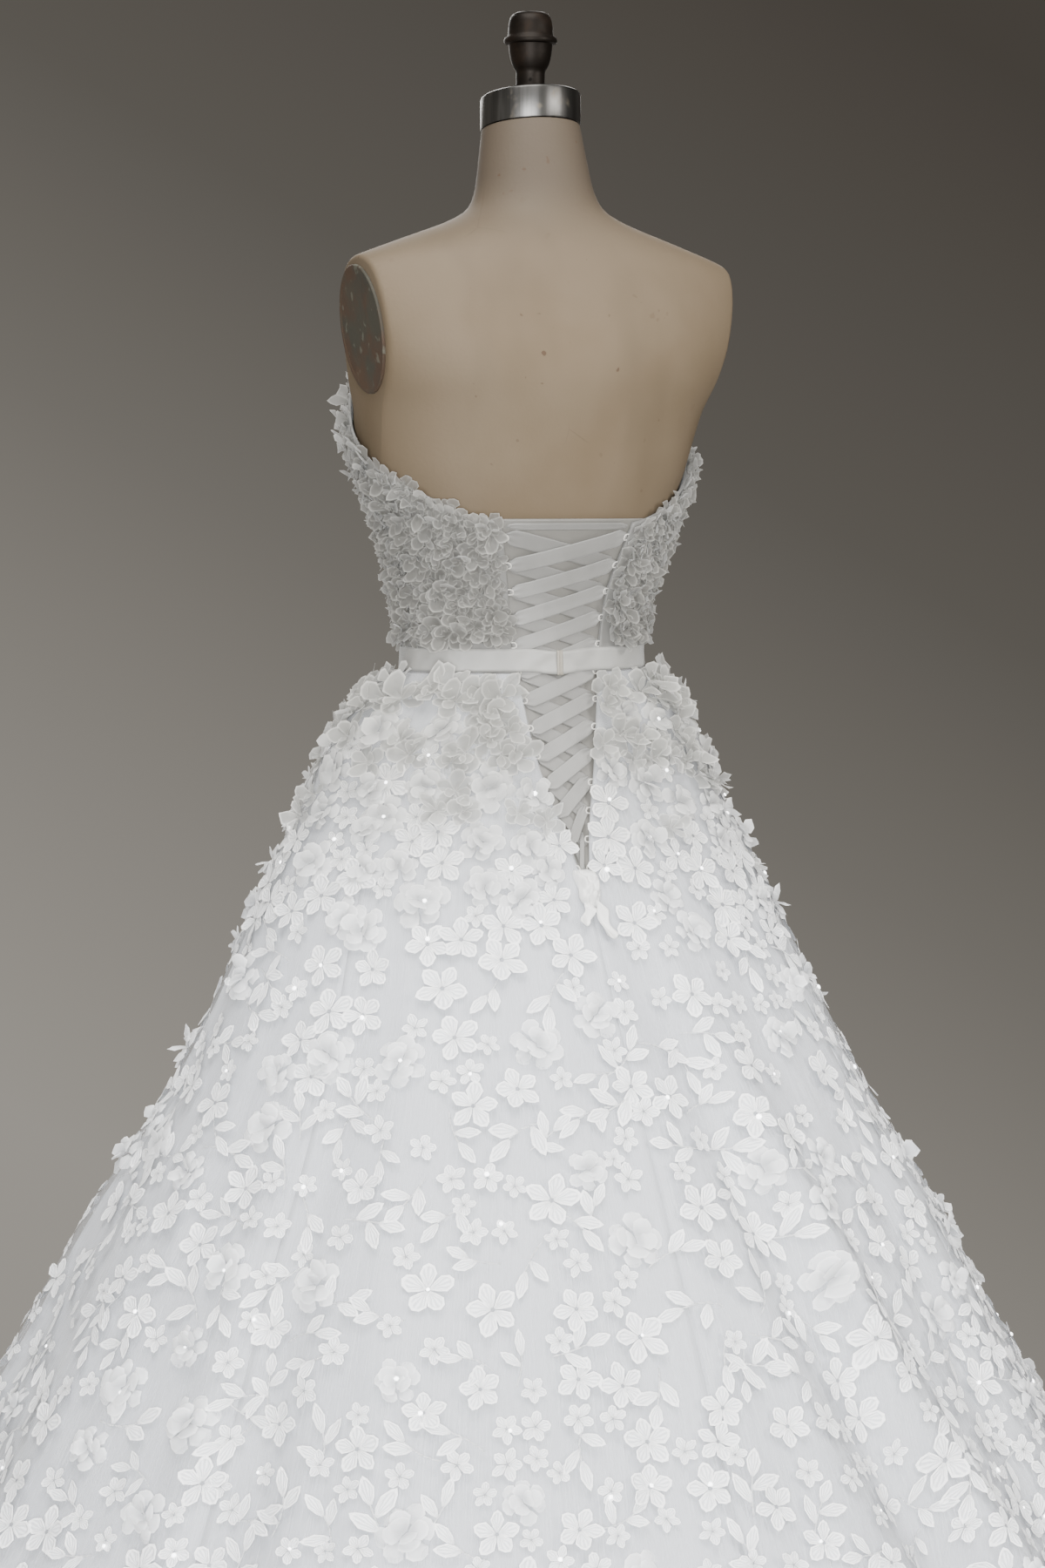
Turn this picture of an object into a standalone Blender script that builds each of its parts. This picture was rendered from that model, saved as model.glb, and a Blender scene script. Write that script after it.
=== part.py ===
"""A strapless wedding dress, laced at the back, on a limbless dress form.

Metres, +Z up. The origin lies on the floor under the middle of the hem, and the gown's back faces +Y.
Angles run round the body from the centre back (0) through +X (90) to the centre front (180).
"""

import math
import random

import bmesh
import bpy
from mathutils import Matrix, Vector, geometry

# The form stands a little behind the middle of the hem.
AXIS_Y = 0.024

# Heights of the gown.
HEM_Z = 0.012
WAIST_SEAM_Z = 1.0685
SEAM_GAP = 0.0003

# Cloth, and how far it lies from what is under it.
CLOTH = 0.0024
FORM_CLEARANCE = 0.0022
LAYER_GAP = 0.0003
MODESTY_THICK = 0.0012
MODESTY_GAP = 0.0008
RIBBON_THICK = 0.001
RIBBON_WIDTH = 0.0145
RIBBON_TIP = 0.45
RIBBON_TAPER = 0.012
LACE_SINK = 0.0001
LACE_END_GAP = 0.0011
LACE_LAYER_GAP = 0.0006
TOP_LACE_RISE = 0.0098
TOP_LACE_WIDTH = 0.006
LACE_SHARE_OF_PITCH = 0.72

# The form's outline: height, half width, half depth, and how far the section's middle lies behind the axis.
FORM_SECTIONS = (
    (0.780, 0.158, 0.110, -0.008),
    (0.860, 0.164, 0.112, -0.008),
    (0.920, 0.157, 0.106, -0.011),
    (0.970, 0.144, 0.094, -0.014),
    (1.020, 0.127, 0.083, -0.017),
    (1.060, 0.1170, 0.0775, -0.018),
    (1.085, 0.1145, 0.0755, -0.018),
    (1.110, 0.1145, 0.0760, -0.018),
    (1.150, 0.1210, 0.0815, -0.016),
    (1.200, 0.1350, 0.0970, -0.010),
    (1.250, 0.1530, 0.1080, -0.006),
    (1.290, 0.1640, 0.1140, -0.003),
    (1.315, 0.1710, 0.1140, 0.003),
    (1.340, 0.1860, 0.1110, 0.010),
    (1.365, 0.2000, 0.1060, 0.015),
    (1.390, 0.2090, 0.0990, 0.018),
    (1.415, 0.2110, 0.0900, 0.020),
    (1.435, 0.2030, 0.0810, 0.021),
    (1.448, 0.1840, 0.0750, 0.021),
    (1.459, 0.1550, 0.0700, 0.020),
    (1.470, 0.1240, 0.0650, 0.018),
    (1.482, 0.0900, 0.0600, 0.015),
    (1.494, 0.0670, 0.0560, 0.012),
    (1.510, 0.0570, 0.0530, 0.009),
    (1.535, 0.0515, 0.0500, 0.005),
    (1.571, 0.0458, 0.0458, 0.000),
)
FORM_AROUND = 36
FORM_CLOSE_ROWS = (1.02, 1.34)
FORM_CLOSE_COUNT = 13
NECK_TILT = math.tan(math.radians(8))
NECK_TILT_FROM_Z = 1.50
NECK_TOP_Z = 1.571

# The cups: their place on the front, and how far they fill it out.
BUST_ANGLE = math.radians(143)
BUST_Z = 1.285
BUST_SPREAD = math.radians(27)
BUST_HEIGHT = 0.044
BUST_RISE = 0.14

# The armholes are cut by a plane that leans out at the top, and closed by a plate.
ARM_PLANE_X = 0.173
ARM_PLANE_Z = 1.383
ARM_PLANE_LEAN = math.radians(8.5)
ARM_PLATE_HALF = (0.050, 0.059)
ARM_PLATE_THICK = 0.003
ARM_PLATE_Y = 0.016

# The skirt's outside below the seam: height, half width, half depth, and middle behind the axis.
SKIRT_SECTIONS = (
    (0.000, 0.714, 0.655, -0.025),
    (0.150, 0.633, 0.572, -0.025),
    (0.300, 0.549, 0.490, -0.025),
    (0.450, 0.463, 0.404, -0.025),
    (0.550, 0.411, 0.348, -0.025),
    (0.650, 0.350, 0.286, -0.025),
    (0.750, 0.298, 0.226, -0.027),
    (0.850, 0.254, 0.172, -0.032),
    (0.900, 0.230, 0.148, -0.034),
    (0.950, 0.204, 0.127, -0.035),
    (1.000, 0.184, 0.109, -0.032),
    (1.040, 0.156, 0.0945, -0.0255),
    (1.056, 0.141, 0.0880, -0.0215),
)

# The skirt's long soft folds: angle, depth at the hem (a valley below 0), half width, height where it starts.
SKIRT_FOLDS = (
    (-12, 0.020, 13, 0.80),
    (-31, -0.022, 9, 0.92),
    (-47, 0.018, 11, 0.84),
    (-66, -0.030, 8, 0.98),
    (-84, 0.012, 12, 0.86),
    (-106, -0.024, 10, 0.90),
    (-127, 0.022, 12, 0.78),
    (-149, -0.020, 10, 0.86),
    (-170, 0.016, 11, 0.74),
    (168, -0.018, 10, 0.82),
    (148, 0.022, 12, 0.80),
    (128, -0.022, 9, 0.90),
    (109, 0.024, 11, 0.82),
    (96, -0.024, 9, 0.94),
    (79, 0.021, 10, 0.84),
    (64, -0.014, 7, 0.70),
    (50, -0.030, 9, 0.96),
    (31, 0.020, 11, 0.82),
    (10, -0.016, 8, 0.72),
)
FOLD_GROWTH = 1.3

# The lacing's half gap by height, and its rows of loops.
LACING_GAP = (
    (0.876, 0.0020),
    (0.900, 0.0075),
    (0.925, 0.0130),
    (0.952, 0.0200),
    (0.980, 0.0270),
    (1.020, 0.0340),
    (1.060, 0.0395),
    (1.090, 0.0440),
    (1.120, 0.0470),
    (1.150, 0.0510),
    (1.190, 0.0610),
    (1.215, 0.0680),
)
LACING_TOP_Z = 1.196
LACING_PITCH = 0.0253
LACING_CROSSINGS = 12
LOOP_REACH = 0.005
LOOP_SHARE_OF_GAP = 0.42
LOOP_HALF_HEIGHT = 0.005
LOOP_SHAPE = ((0.0, 1.2), (1.0, 0.5), (1.0, -0.5), (0.0, -1.2))
LOOP_CORD_RADIUS = 0.0008
LOOP_EDGE_GAP = 0.0028
POINT_Z = 0.874

# The top edge of the bodice and of the panel behind the lacing, by angle in degrees.
NECKLINE = (
    (0, 1.207),
    (20, 1.209),
    (40, 1.218),
    (60, 1.236),
    (80, 1.256),
    (100, 1.284),
    (120, 1.322),
    (145, 1.345),
    (163, 1.333),
    (180, 1.306),
)
MODESTY_TOP_Z = 1.212
MODESTY_BOTTOM_Z = 0.884
MODESTY_LAP = 0.016
LACE_ROOM_TO = math.radians(46)
LACE_ROOM_FADE = math.radians(20)

# Seams, in degrees from the centre back.
BODICE_SEAMS = (47, 90, 139)
SKIRT_SEAMS = (54, 126)

# How the rows of cloth crowd together towards the waist.
BODICE_CROWDING = 1.25
SKIRT_CROWDING = 1.8

# The belt.
BELT_Z = 1.0808
BELT_WIDTH = 0.022
BELT_THICK = 0.0015
BELT_GAP = 0.0008
BELT_DIP = 0.003
BELT_DIP_SPREAD = math.radians(9)
CLOSURE_WIDTH = 0.006
CLOSURE_OVERHANG = 0.04

# How the body and the skirt are laid out flat: the body's mean roundness, and the skirt's cone.
BODY_ROUNDNESS = 0.125
CONE_APEX_Z = 1.30
CONE_SLANT = 1.12
CONE_OPENING = 0.46

# Raised flowers: five petals cut from organza, and how high they stand.
PETALS = 5
PETAL_HALF_SPREAD = math.radians(17)
NOTCH_SHARE = 0.6
CROWN_SHARE = 0.66
HEART_SHARE = 0.5
FLOWER_MARGIN = 0.003
FLOWER_GAP = 0.001
FLOWER_CLEARING = 1.12
TRIES_PER_FLOWER = 40
BODICE_FLOWER = (0.0135, 0.0175, 0.010)
SKIRT_FLOWER = (0.021, 0.028, 0.008)
SEED = 41

# The knot and its tails.
KNOT_Z = 0.866
KNOT_HALF = (0.009, 0.008)
KNOT_THICK = 0.007
KNOT_NARROWING = 0.35
KNOT_GAP = 0.0013
KNOT_ROOM_X = 0.05
KNOT_ROOM_Z = 0.79
TAIL_LENGTH = 0.046
TAIL_WIDTH = 0.011
TAIL_START_X = 0.0065
TAIL_SPLAY = 0.012

# The stand.
POLE_RADIUS = 0.0145
BASE_TOP_Z = 0.034
COLLAR_RADIUS = 0.0466
COLLAR_HEIGHT = 0.030
ROUND_SIDES = 20


# ---- Curves and surfaces ----


def smooth_row(table, at):
    """The table's other columns at this value of its first, on a smooth curve through its rows."""
    at = min(max(at, table[0][0]), table[-1][0])
    last = len(table) - 1
    i = next((k for k in range(last) if at <= table[k + 1][0]), last - 1)
    low, high = table[i], table[i + 1]
    before = table[max(i - 1, 0)]
    after = table[min(i + 2, last)]
    span = high[0] - low[0]
    t = (at - low[0]) / span
    found = []
    for a, b, c, d in zip(before[1:], low[1:], high[1:], after[1:]):
        start_slope = (c - a) / (high[0] - before[0]) * span
        end_slope = (d - b) / (after[0] - low[0]) * span
        found.append(
            b * (2 * t**3 - 3 * t**2 + 1)
            + start_slope * (t**3 - 2 * t**2 + t)
            + c * (3 * t**2 - 2 * t**3)
            + end_slope * (t**3 - t**2)
        )
    return found


def ease(value):
    """From 0 to 1 as the value goes from 0 to 1, with soft ends."""
    value = min(max(value, 0.0), 1.0)
    return value * value * (3 - 2 * value)


def turn_from(angle, middle):
    """The turn from one angle to another, between -pi and pi."""
    return (angle - middle + math.pi) % (2 * math.pi) - math.pi


def section_point(angle, height, half_width, half_depth, middle):
    return Vector((half_width * math.sin(angle), AXIS_Y + middle + half_depth * math.cos(angle), height))


def form_point(angle, height):
    """A point on the form, with its cups, and its neck cut at a slant."""
    half_width, half_depth, middle = smooth_row(FORM_SECTIONS, height)
    cup = sum(
        math.exp(-((turn_from(angle, side) / BUST_SPREAD) ** 2)) for side in (BUST_ANGLE, -BUST_ANGLE)
    )
    fill = 1 + BUST_RISE * cup * math.exp(-(((height - BUST_Z) / BUST_HEIGHT) ** 2))
    point = section_point(angle, height, half_width * fill, half_depth * fill, middle)
    slant = ease((height - NECK_TILT_FROM_Z) / (NECK_TOP_Z - NECK_TILT_FROM_Z))
    point.z += NECK_TILT * slant * (point.y - AXIS_Y)
    return point


def moved_out(surface, angle, height, distance):
    """A point of the surface, moved along the surface's normal."""
    step = 0.002
    along = surface(angle + step, height) - surface(angle - step, height)
    up = surface(angle, height + step) - surface(angle, height - step)
    return surface(angle, height) + distance * up.cross(along).normalized()


def lace_room(angle):
    """How much further from the form the cloth lies round the lacing, for the panel behind it."""
    off_centre = abs(turn_from(angle, 0))
    return (MODESTY_THICK + MODESTY_GAP) * (1 - ease((off_centre - LACE_ROOM_TO) / LACE_ROOM_FADE))


def fold_at(angle, height):
    depth = 0.0
    for middle, deep, half_width, top in SKIRT_FOLDS:
        off = abs(turn_from(angle, math.radians(middle))) / math.radians(half_width)
        if off < 1 and height < top:
            depth += deep * ((top - height) / top) ** FOLD_GROWTH * (1 - ease(off))
    return depth


FORM_TO_OUTSIDE = FORM_CLEARANCE + CLOTH
SEAM_SECTION = smooth_row(FORM_SECTIONS, WAIST_SEAM_Z)
GOWN_SECTIONS = SKIRT_SECTIONS + (
    (
        WAIST_SEAM_Z,
        SEAM_SECTION[0] + FORM_TO_OUTSIDE,
        SEAM_SECTION[1] + FORM_TO_OUTSIDE,
        SEAM_SECTION[2],
    ),
)


def skirt_point(angle, height):
    """A point on the skirt, with its long folds."""
    point = section_point(angle, height, *smooth_row(GOWN_SECTIONS, height))
    fold = fold_at(angle, height)
    point.x += fold * math.sin(angle)
    point.y += fold * math.cos(angle)
    return point


def gown(angle, height, out=0.0):
    """A point on the gown's plain outside, or this far out from it."""
    out += lace_room(angle)
    if height >= WAIST_SEAM_Z:
        return moved_out(form_point, angle, height, FORM_TO_OUTSIDE + out)
    return moved_out(skirt_point, angle, height, out)


def half_width_at(height):
    if height >= WAIST_SEAM_Z:
        return smooth_row(FORM_SECTIONS, height)[0] + FORM_TO_OUTSIDE
    return smooth_row(GOWN_SECTIONS, height)[0]


def angle_at(x, height):
    """The angle near the centre back where the gown lies this far to the side."""
    return math.asin(x / half_width_at(height))


def neckline(angle):
    return smooth_row(NECKLINE, math.degrees(abs(turn_from(angle, 0))))[0]


def gap_at(height):
    """Half the width of the laced opening, down to a seam below its point."""
    if height <= POINT_Z:
        return SEAM_GAP / 2
    return smooth_row(((POINT_Z, SEAM_GAP / 2),) + LACING_GAP, height)[0]


def seam_turn(angle, height):
    """Half a seam's gap, as an angle."""
    return SEAM_GAP / 2 / (gown(angle + 0.005, height) - gown(angle - 0.005, height)).length * 0.01


# ---- Building meshes ----


def material(name, colour, roughness, metallic=0.0):
    made = bpy.data.materials.new(name)
    made.use_nodes = True
    shader = made.node_tree.nodes["Principled BSDF"]
    shader.inputs["Base Color"].default_value = (*colour, 1.0)
    shader.inputs["Roughness"].default_value = roughness
    shader.inputs["Metallic"].default_value = metallic
    return made


def add_object(name, data, finish, location=(0, 0, 0)):
    made = bpy.data.objects.new(name, data)
    bpy.context.scene.collection.objects.link(made)
    made.location = location
    made.parent = bpy.data.objects[GROUP]
    data.materials.append(finish)
    return made


def closed_mesh(name, points, faces, sharp_degrees=35):
    """A closed mesh whose faces all look out."""
    mesh = bpy.data.meshes.new(name)
    mesh.from_pydata(points, [], faces)
    shell = bmesh.new()
    shell.from_mesh(mesh)
    bmesh.ops.recalc_face_normals(shell, faces=shell.faces)
    shell.to_mesh(mesh)
    shell.free()
    mesh.shade_smooth()
    mesh.set_sharp_from_angle(angle=math.radians(sharp_degrees))
    return mesh


def loft(name, rings, finish, location=(0, 0, 0)):
    """A solid through rings of points, with flat ends."""
    count = len(rings[0])
    points = [point for ring in rings for point in ring]
    faces = [list(range(count)), list(range((len(rings) - 1) * count, len(rings) * count))]
    for row in range(len(rings) - 1):
        for i in range(count):
            j = (i + 1) % count
            low, high = row * count, (row + 1) * count
            faces.append((low + i, low + j, high + j, high + i))
    return add_object(name, closed_mesh(name, points, faces), finish, location)


def ring_of(radius, height, lean=0.0, sides=ROUND_SIDES):
    """A ring of points about the Z axis, with its back raised by the lean."""
    turns = [2 * math.pi * i / sides for i in range(sides)]
    return [(radius * math.sin(t), radius * math.cos(t), height + lean * radius * math.cos(t)) for t in turns]


def laid_upright(angle, height):
    """A place on the gown's body, laid nearly flat so that its cloth can be cut into triangles."""
    return Vector((BODY_ROUNDNESS * angle, height))


def laid_as_cone(angle, height):
    """A place on the skirt, laid nearly flat as a cone opens out."""
    reach = (CONE_APEX_Z - height) * CONE_SLANT
    return Vector((reach * math.sin(CONE_OPENING * angle), -reach * math.cos(CONE_OPENING * angle)))


def triangles_in(flat_points, rim_count, creases):
    """Triangles over the points inside the rim, which is the first of them, with an edge along each crease."""
    rim = [(i, (i + 1) % rim_count) for i in range(rim_count)]
    _, _, faces, origins, _, _ = geometry.delaunay_2d_cdt(flat_points, rim + creases, [], 1, 1e-7)
    return [[origins[i][0] for i in face] for face in faces]


def patch_rim(columns, rows):
    """The rim of a patch in its own u and v, once round."""
    bottom = [(i / columns, 0.0) for i in range(columns)]
    right = [(1.0, i / rows) for i in range(rows)]
    top = [(1 - i / columns, 1.0) for i in range(columns)]
    left = [(0.0, 1 - i / rows) for i in range(rows)]
    return bottom + right + top + left


def patch_inside(columns, rows):
    return [(i / columns, j / rows) for i in range(1, columns) for j in range(1, rows)]


def flower_points(centre, radius, rise, turn):
    """A raised flower's points as angle, height and rise: its outline, the crown of each petal, its heart."""
    angle, height = centre
    around = (gown(angle + 0.005, height) - gown(angle - 0.005, height)).length / 0.01
    upward = (gown(angle, height + 0.002) - gown(angle, height - 0.002)).length / 0.004

    def place(share, way, lift):
        return (
            angle + radius * share * math.cos(way) / around,
            height + radius * share * math.sin(way) / upward,
            lift,
        )

    outline, crown = [], []
    for petal in range(PETALS):
        way = turn + 2 * math.pi * petal / PETALS
        outline.append(place(1.0, way - PETAL_HALF_SPREAD, 0.0))
        outline.append(place(1.0, way + PETAL_HALF_SPREAD, 0.0))
        outline.append(place(NOTCH_SHARE, way + math.pi / PETALS, 0.0))
        crown.append(place(CROWN_SHARE, way, rise))
    return outline, crown, place(0.0, 0.0, rise * HEART_SHARE)


def cloth(name, finish, place, columns, rows, inside, outside, flowers=(), laid=laid_upright):
    """A wall of cloth between two distances from the gown, over the patch that place(u, v) gives.

    Flowers are raised in the outer points, and the inside stays plain.
    """
    rim = [place(u, v) for u, v in patch_rim(columns, rows)]
    middle = [place(u, v) for u, v in patch_inside(columns, rows)]

    def under_flower(spot):
        here = gown(*spot)
        return any((gown(*centre) - here).length < radius * FLOWER_CLEARING for centre, radius, _, _ in flowers)

    upper = [(a, z, 0.0) for a, z in rim + [spot for spot in middle if not under_flower(spot)]]
    creases = []
    for centre, radius, rise, turn in flowers:
        outline, crown, heart = flower_points(centre, radius, rise, turn)
        first = len(upper)
        upper += outline
        creases += [(first + i, first + (i + 1) % len(outline)) for i in range(len(outline))]
        ring = len(upper)
        upper += crown
        upper.append(heart)
        creases += [(ring + i, ring + PETALS) for i in range(PETALS)]
    lower = rim + middle
    faces = triangles_in([laid(a, z) for a, z, _ in upper], len(rim), creases)
    below = triangles_in([laid(a, z) for a, z in lower], len(rim), [])
    shift = len(upper)
    faces += [[i + shift for i in face] for face in below]
    for i in range(len(rim)):
        j = (i + 1) % len(rim)
        faces.append([i, j, j + shift, i + shift])
    points = [gown(a, z, outside + rise) for a, z, rise in upper]
    points += [gown(a, z, inside) for a, z in lower]
    return add_object(name, closed_mesh(name, points, faces), finish)


def rim_samples(place, columns, rows, between_corners=6):
    """Points of the gown along the straight runs of a patch's rim."""
    rim = [Vector(place(u, v)) for u, v in patch_rim(columns, rows)]
    samples = []
    for start, end in zip(rim, rim[1:] + rim[:1]):
        samples += [gown(*start.lerp(end, i / between_corners)) for i in range(between_corners)]
    return samples


def scatter(place, columns, rows, wanted, sizes, draws, lowest=0.0, highest=9.0, room=0.0):
    """Flowers set at random on a patch, clear of each other and of its rim: centre, radius, rise and turn."""
    small, large, rise = sizes
    edge = rim_samples(place, columns, rows)
    found = []
    for _ in range(wanted * TRIES_PER_FLOWER):
        if len(found) == wanted:
            break
        centre = place(draws.random(), draws.random())
        radius = draws.uniform(small, large)
        turn = draws.uniform(0, 2 * math.pi)
        here = gown(*centre)
        if not lowest <= centre[1] <= highest or (centre[1] > KNOT_ROOM_Z and abs(here.x) < room):
            continue
        if any((here - point).length < radius + FLOWER_MARGIN for point in edge):
            continue
        if any((here - gown(*other)).length < radius + size + FLOWER_GAP for other, size, _, _ in found):
            continue
        found.append((centre, radius, rise, turn))
    return found


# ---- The dress form ----


def make_form(finish, metal, dark_metal, plate_finish):
    low, high = FORM_CLOSE_ROWS
    close = [low + (high - low) * i / FORM_CLOSE_COUNT for i in range(FORM_CLOSE_COUNT + 1)]
    heights = [row[0] for row in FORM_SECTIONS if not low <= row[0] <= high] + close
    turns = [2 * math.pi * i / FORM_AROUND for i in range(FORM_AROUND)]
    rings = [[form_point(t, z) for t in turns] for z in sorted(heights)]
    form = loft("form_torso", rings, finish)
    for side, word in ((1, "left"), (-1, "right")):
        cut_armhole(form, side, word)
        make_arm_plate(side, word, plate_finish)
    make_collar(metal)
    make_finial(dark_metal)
    make_pole(dark_metal)
    make_base(dark_metal)


def arm_plane(side):
    """The armhole's plane: its +Z looks out of the form."""
    lean = Matrix.Rotation(math.pi / 2 + ARM_PLANE_LEAN, 4, "Y")
    if side < 0:
        lean = Matrix.Rotation(-math.pi / 2 - ARM_PLANE_LEAN, 4, "Y")
    return Matrix.Translation((side * ARM_PLANE_X, AXIS_Y + ARM_PLATE_Y, ARM_PLANE_Z)) @ lean


def cut_armhole(form, side, word):
    half = 0.1
    cutter = bmesh.new()
    bmesh.ops.create_cube(cutter, size=2 * half, matrix=arm_plane(side) @ Matrix.Translation((0, 0, half)))
    mesh = bpy.data.meshes.new("armhole_cutter_" + word)
    cutter.to_mesh(mesh)
    cutter.free()
    helper = bpy.data.objects.new("armhole_cutter_" + word, mesh)
    bpy.context.scene.collection.objects.link(helper)
    helper.hide_render = True
    helper.display_type = "WIRE"
    cut = form.modifiers.new("armhole_" + word, "BOOLEAN")
    cut.operation = "DIFFERENCE"
    cut.object = helper


def make_arm_plate(side, word, finish):
    place = arm_plane(side)
    high, wide = ARM_PLATE_HALF[1], ARM_PLATE_HALF[0]
    layers = ((1.0, LAYER_GAP), (1.0, ARM_PLATE_THICK * 0.7), (0.97, ARM_PLATE_THICK))
    rings = []
    for share, lift in layers:
        turns = [2 * math.pi * i / ROUND_SIDES for i in range(ROUND_SIDES)]
        ring = [(share * high * math.cos(t), share * wide * math.sin(t), lift) for t in turns]
        rings.append([place @ Vector(point) for point in ring])
    loft("arm_plate_" + word, rings, finish)


def make_collar(finish):
    profile = ((0.0446, 0.0), (COLLAR_RADIUS, 0.002), (COLLAR_RADIUS, 0.012), (0.0462, 0.0135))
    profile += ((COLLAR_RADIUS, 0.015), (COLLAR_RADIUS, 0.027), (0.0445, COLLAR_HEIGHT))
    rings = [ring_of(radius, height, NECK_TILT) for radius, height in profile]
    loft("neck_collar", rings, finish, (0, AXIS_Y, NECK_TOP_Z + LAYER_GAP))


def make_finial(finish):
    """Radius, height and lean of each ring, from the foot that lies on the collar to the tip."""
    profile = (
        (0.0210, 0.0000, NECK_TILT),
        (0.0210, 0.0030, NECK_TILT),
        (0.0140, 0.0060, 0.03),
        (0.0126, 0.0100, 0.0),
        (0.0128, 0.0210, 0.0),
        (0.0150, 0.0245, 0.0),
        (0.0178, 0.0300, 0.0),
        (0.0196, 0.0400, 0.0),
        (0.0206, 0.0460, 0.0),
        (0.0246, 0.0480, 0.0),
        (0.0246, 0.0535, 0.0),
        (0.0208, 0.0560, 0.0),
        (0.0202, 0.0660, 0.0),
        (0.0176, 0.0725, 0.0),
        (0.0112, 0.0765, 0.0),
    )
    rings = [ring_of(*row) for row in profile]
    loft("finial", rings, finish, (0, AXIS_Y, NECK_TOP_Z + COLLAR_HEIGHT + 2 * LAYER_GAP))


def make_pole(finish):
    low = BASE_TOP_Z + LAYER_GAP
    high = FORM_SECTIONS[0][0] - LAYER_GAP
    profile = ((POLE_RADIUS, low), (POLE_RADIUS, high - 0.012), (0.034, high - 0.006), (0.034, high))
    rings = [ring_of(radius, height) for radius, height in profile]
    loft("pole", rings, finish, (0, AXIS_Y, 0))


def make_base(finish):
    profile = ((0.186, 0.0), (0.190, 0.004), (0.188, 0.010), (0.150, 0.016), (0.070, 0.022))
    profile += ((0.032, 0.028), (0.024, BASE_TOP_Z))
    rings = [ring_of(radius, height, sides=32) for radius, height in profile]
    loft("stand_base", rings, finish, (0, AXIS_Y, 0))


# ---- The gown ----


def between(low, high, u):
    return low + (high - low) * u


def bodice_patch(left_edge, right_edge):
    """A patch of the bodice between two edges, each an angle by height, from the waist to the neckline."""

    def place(u, v):
        bottom = WAIST_SEAM_Z
        rough = between(left_edge(bottom), right_edge(bottom), u)
        height = between(bottom, neckline(rough), v**BODICE_CROWDING)
        return between(left_edge(height), right_edge(height), u), height

    return place


def skirt_patch(left_edge, right_edge):

    def place(u, v):
        height = between(WAIST_SEAM_Z - SEAM_GAP, HEM_Z, (1 - v) ** SKIRT_CROWDING)
        return between(left_edge(height), right_edge(height), u), height

    return place


def seam_edge(degrees, side):
    """An edge at a seam: the side says on which side of the seam the cloth lies."""
    angle = math.radians(degrees)

    def edge(height):
        return angle + side * seam_turn(angle, height)

    return edge


def lacing_edge(side):
    """The back panels' edge along the laced opening and the seam below it."""

    def edge(height):
        room = LOOP_EDGE_GAP * ease((height - POINT_Z) / 0.01)
        return side * angle_at(gap_at(height) + room, height)

    return edge


def make_bodice(finish, draws):
    back, side, front = BODICE_SEAMS
    pieces = (
        ("bodice_back_left", lacing_edge(1), seam_edge(back, -1), 4, 8, 4),
        ("bodice_side_back_left", seam_edge(back, 1), seam_edge(side, -1), 6, 8, 7),
        ("bodice_side_front_left", seam_edge(side, 1), seam_edge(front, -1), 9, 12, 9),
        ("bodice_front", seam_edge(front, 1), seam_edge(360 - front, -1), 16, 12, 13),
        ("bodice_side_front_right", seam_edge(-front, 1), seam_edge(-side, -1), 9, 12, 9),
        ("bodice_side_back_right", seam_edge(-side, 1), seam_edge(-back, -1), 6, 8, 7),
        ("bodice_back_right", seam_edge(-back, 1), lacing_edge(-1), 4, 8, 4),
    )
    for name, left, right, columns, rows, wanted in pieces:
        place = bodice_patch(left, right)
        flowers = scatter(place, columns, rows, wanted, BODICE_FLOWER, draws, lowest=BELT_Z + 0.030)
        cloth(name, finish, place, columns, rows, -CLOTH, 0.0, flowers)


def make_skirt(finish, draws):
    back, side = SKIRT_SEAMS
    pieces = (
        ("skirt_back_left", lacing_edge(1), seam_edge(back, -1), 10, 12, 13),
        ("skirt_side_left", seam_edge(back, 1), seam_edge(side, -1), 12, 12, 12),
        ("skirt_front", seam_edge(side, 1), seam_edge(360 - side, -1), 18, 12, 16),
        ("skirt_side_right", seam_edge(-side, 1), seam_edge(-back, -1), 12, 12, 12),
        ("skirt_back_right", seam_edge(-back, 1), lacing_edge(-1), 10, 12, 13),
    )
    for name, left, right, columns, rows, wanted in pieces:
        place = skirt_patch(left, right)
        flowers = scatter(place, columns, rows, wanted, SKIRT_FLOWER, draws, highest=1.03, room=KNOT_ROOM_X)
        cloth(name, finish, place, columns, rows, -CLOTH, 0.0, flowers, laid_as_cone)


def make_modesty_panel(finish):

    def place(u, v):
        height = between(MODESTY_BOTTOM_Z, MODESTY_TOP_Z, v)
        reach = gap_at(min(height, LACING_GAP[-1][0])) + MODESTY_LAP
        return between(angle_at(reach, height), -angle_at(reach, height), u), height

    top = -CLOTH - MODESTY_GAP
    cloth("modesty_panel", finish, place, 6, 16, top - MODESTY_THICK, top)


def make_belt(finish):
    under, over = BELT_GAP, BELT_GAP + BELT_THICK

    def height_at(angle, v):
        dip = BELT_DIP * math.exp(-((turn_from(angle, 0) / BELT_DIP_SPREAD) ** 2))
        return BELT_Z - dip + BELT_WIDTH * (v - 0.5)

    for word, start, end in (("left", 0, 180), ("right", -180, 0)):
        first, last = seam_edge(start, 1)(BELT_Z), seam_edge(end, -1)(BELT_Z)

        def place(u, v):
            angle = between(first, last, u)
            return angle, height_at(angle, v)

        cloth("belt_" + word, finish, place, 22, 1, under, over)
    half_turn = angle_at(CLOSURE_WIDTH / 2, BELT_Z)

    def closure(u, v):
        angle = between(-half_turn, half_turn, u)
        return angle, height_at(angle, between(-CLOSURE_OVERHANG, 1 + CLOSURE_OVERHANG, v))

    cloth("belt_closure", finish, closure, 2, 1, over + LAYER_GAP, over + LAYER_GAP + BELT_THICK)


def loop_reach(height):
    """How far a loop stands out into the opening."""
    return min(LOOP_REACH, LOOP_SHARE_OF_GAP * gap_at(height))


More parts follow.
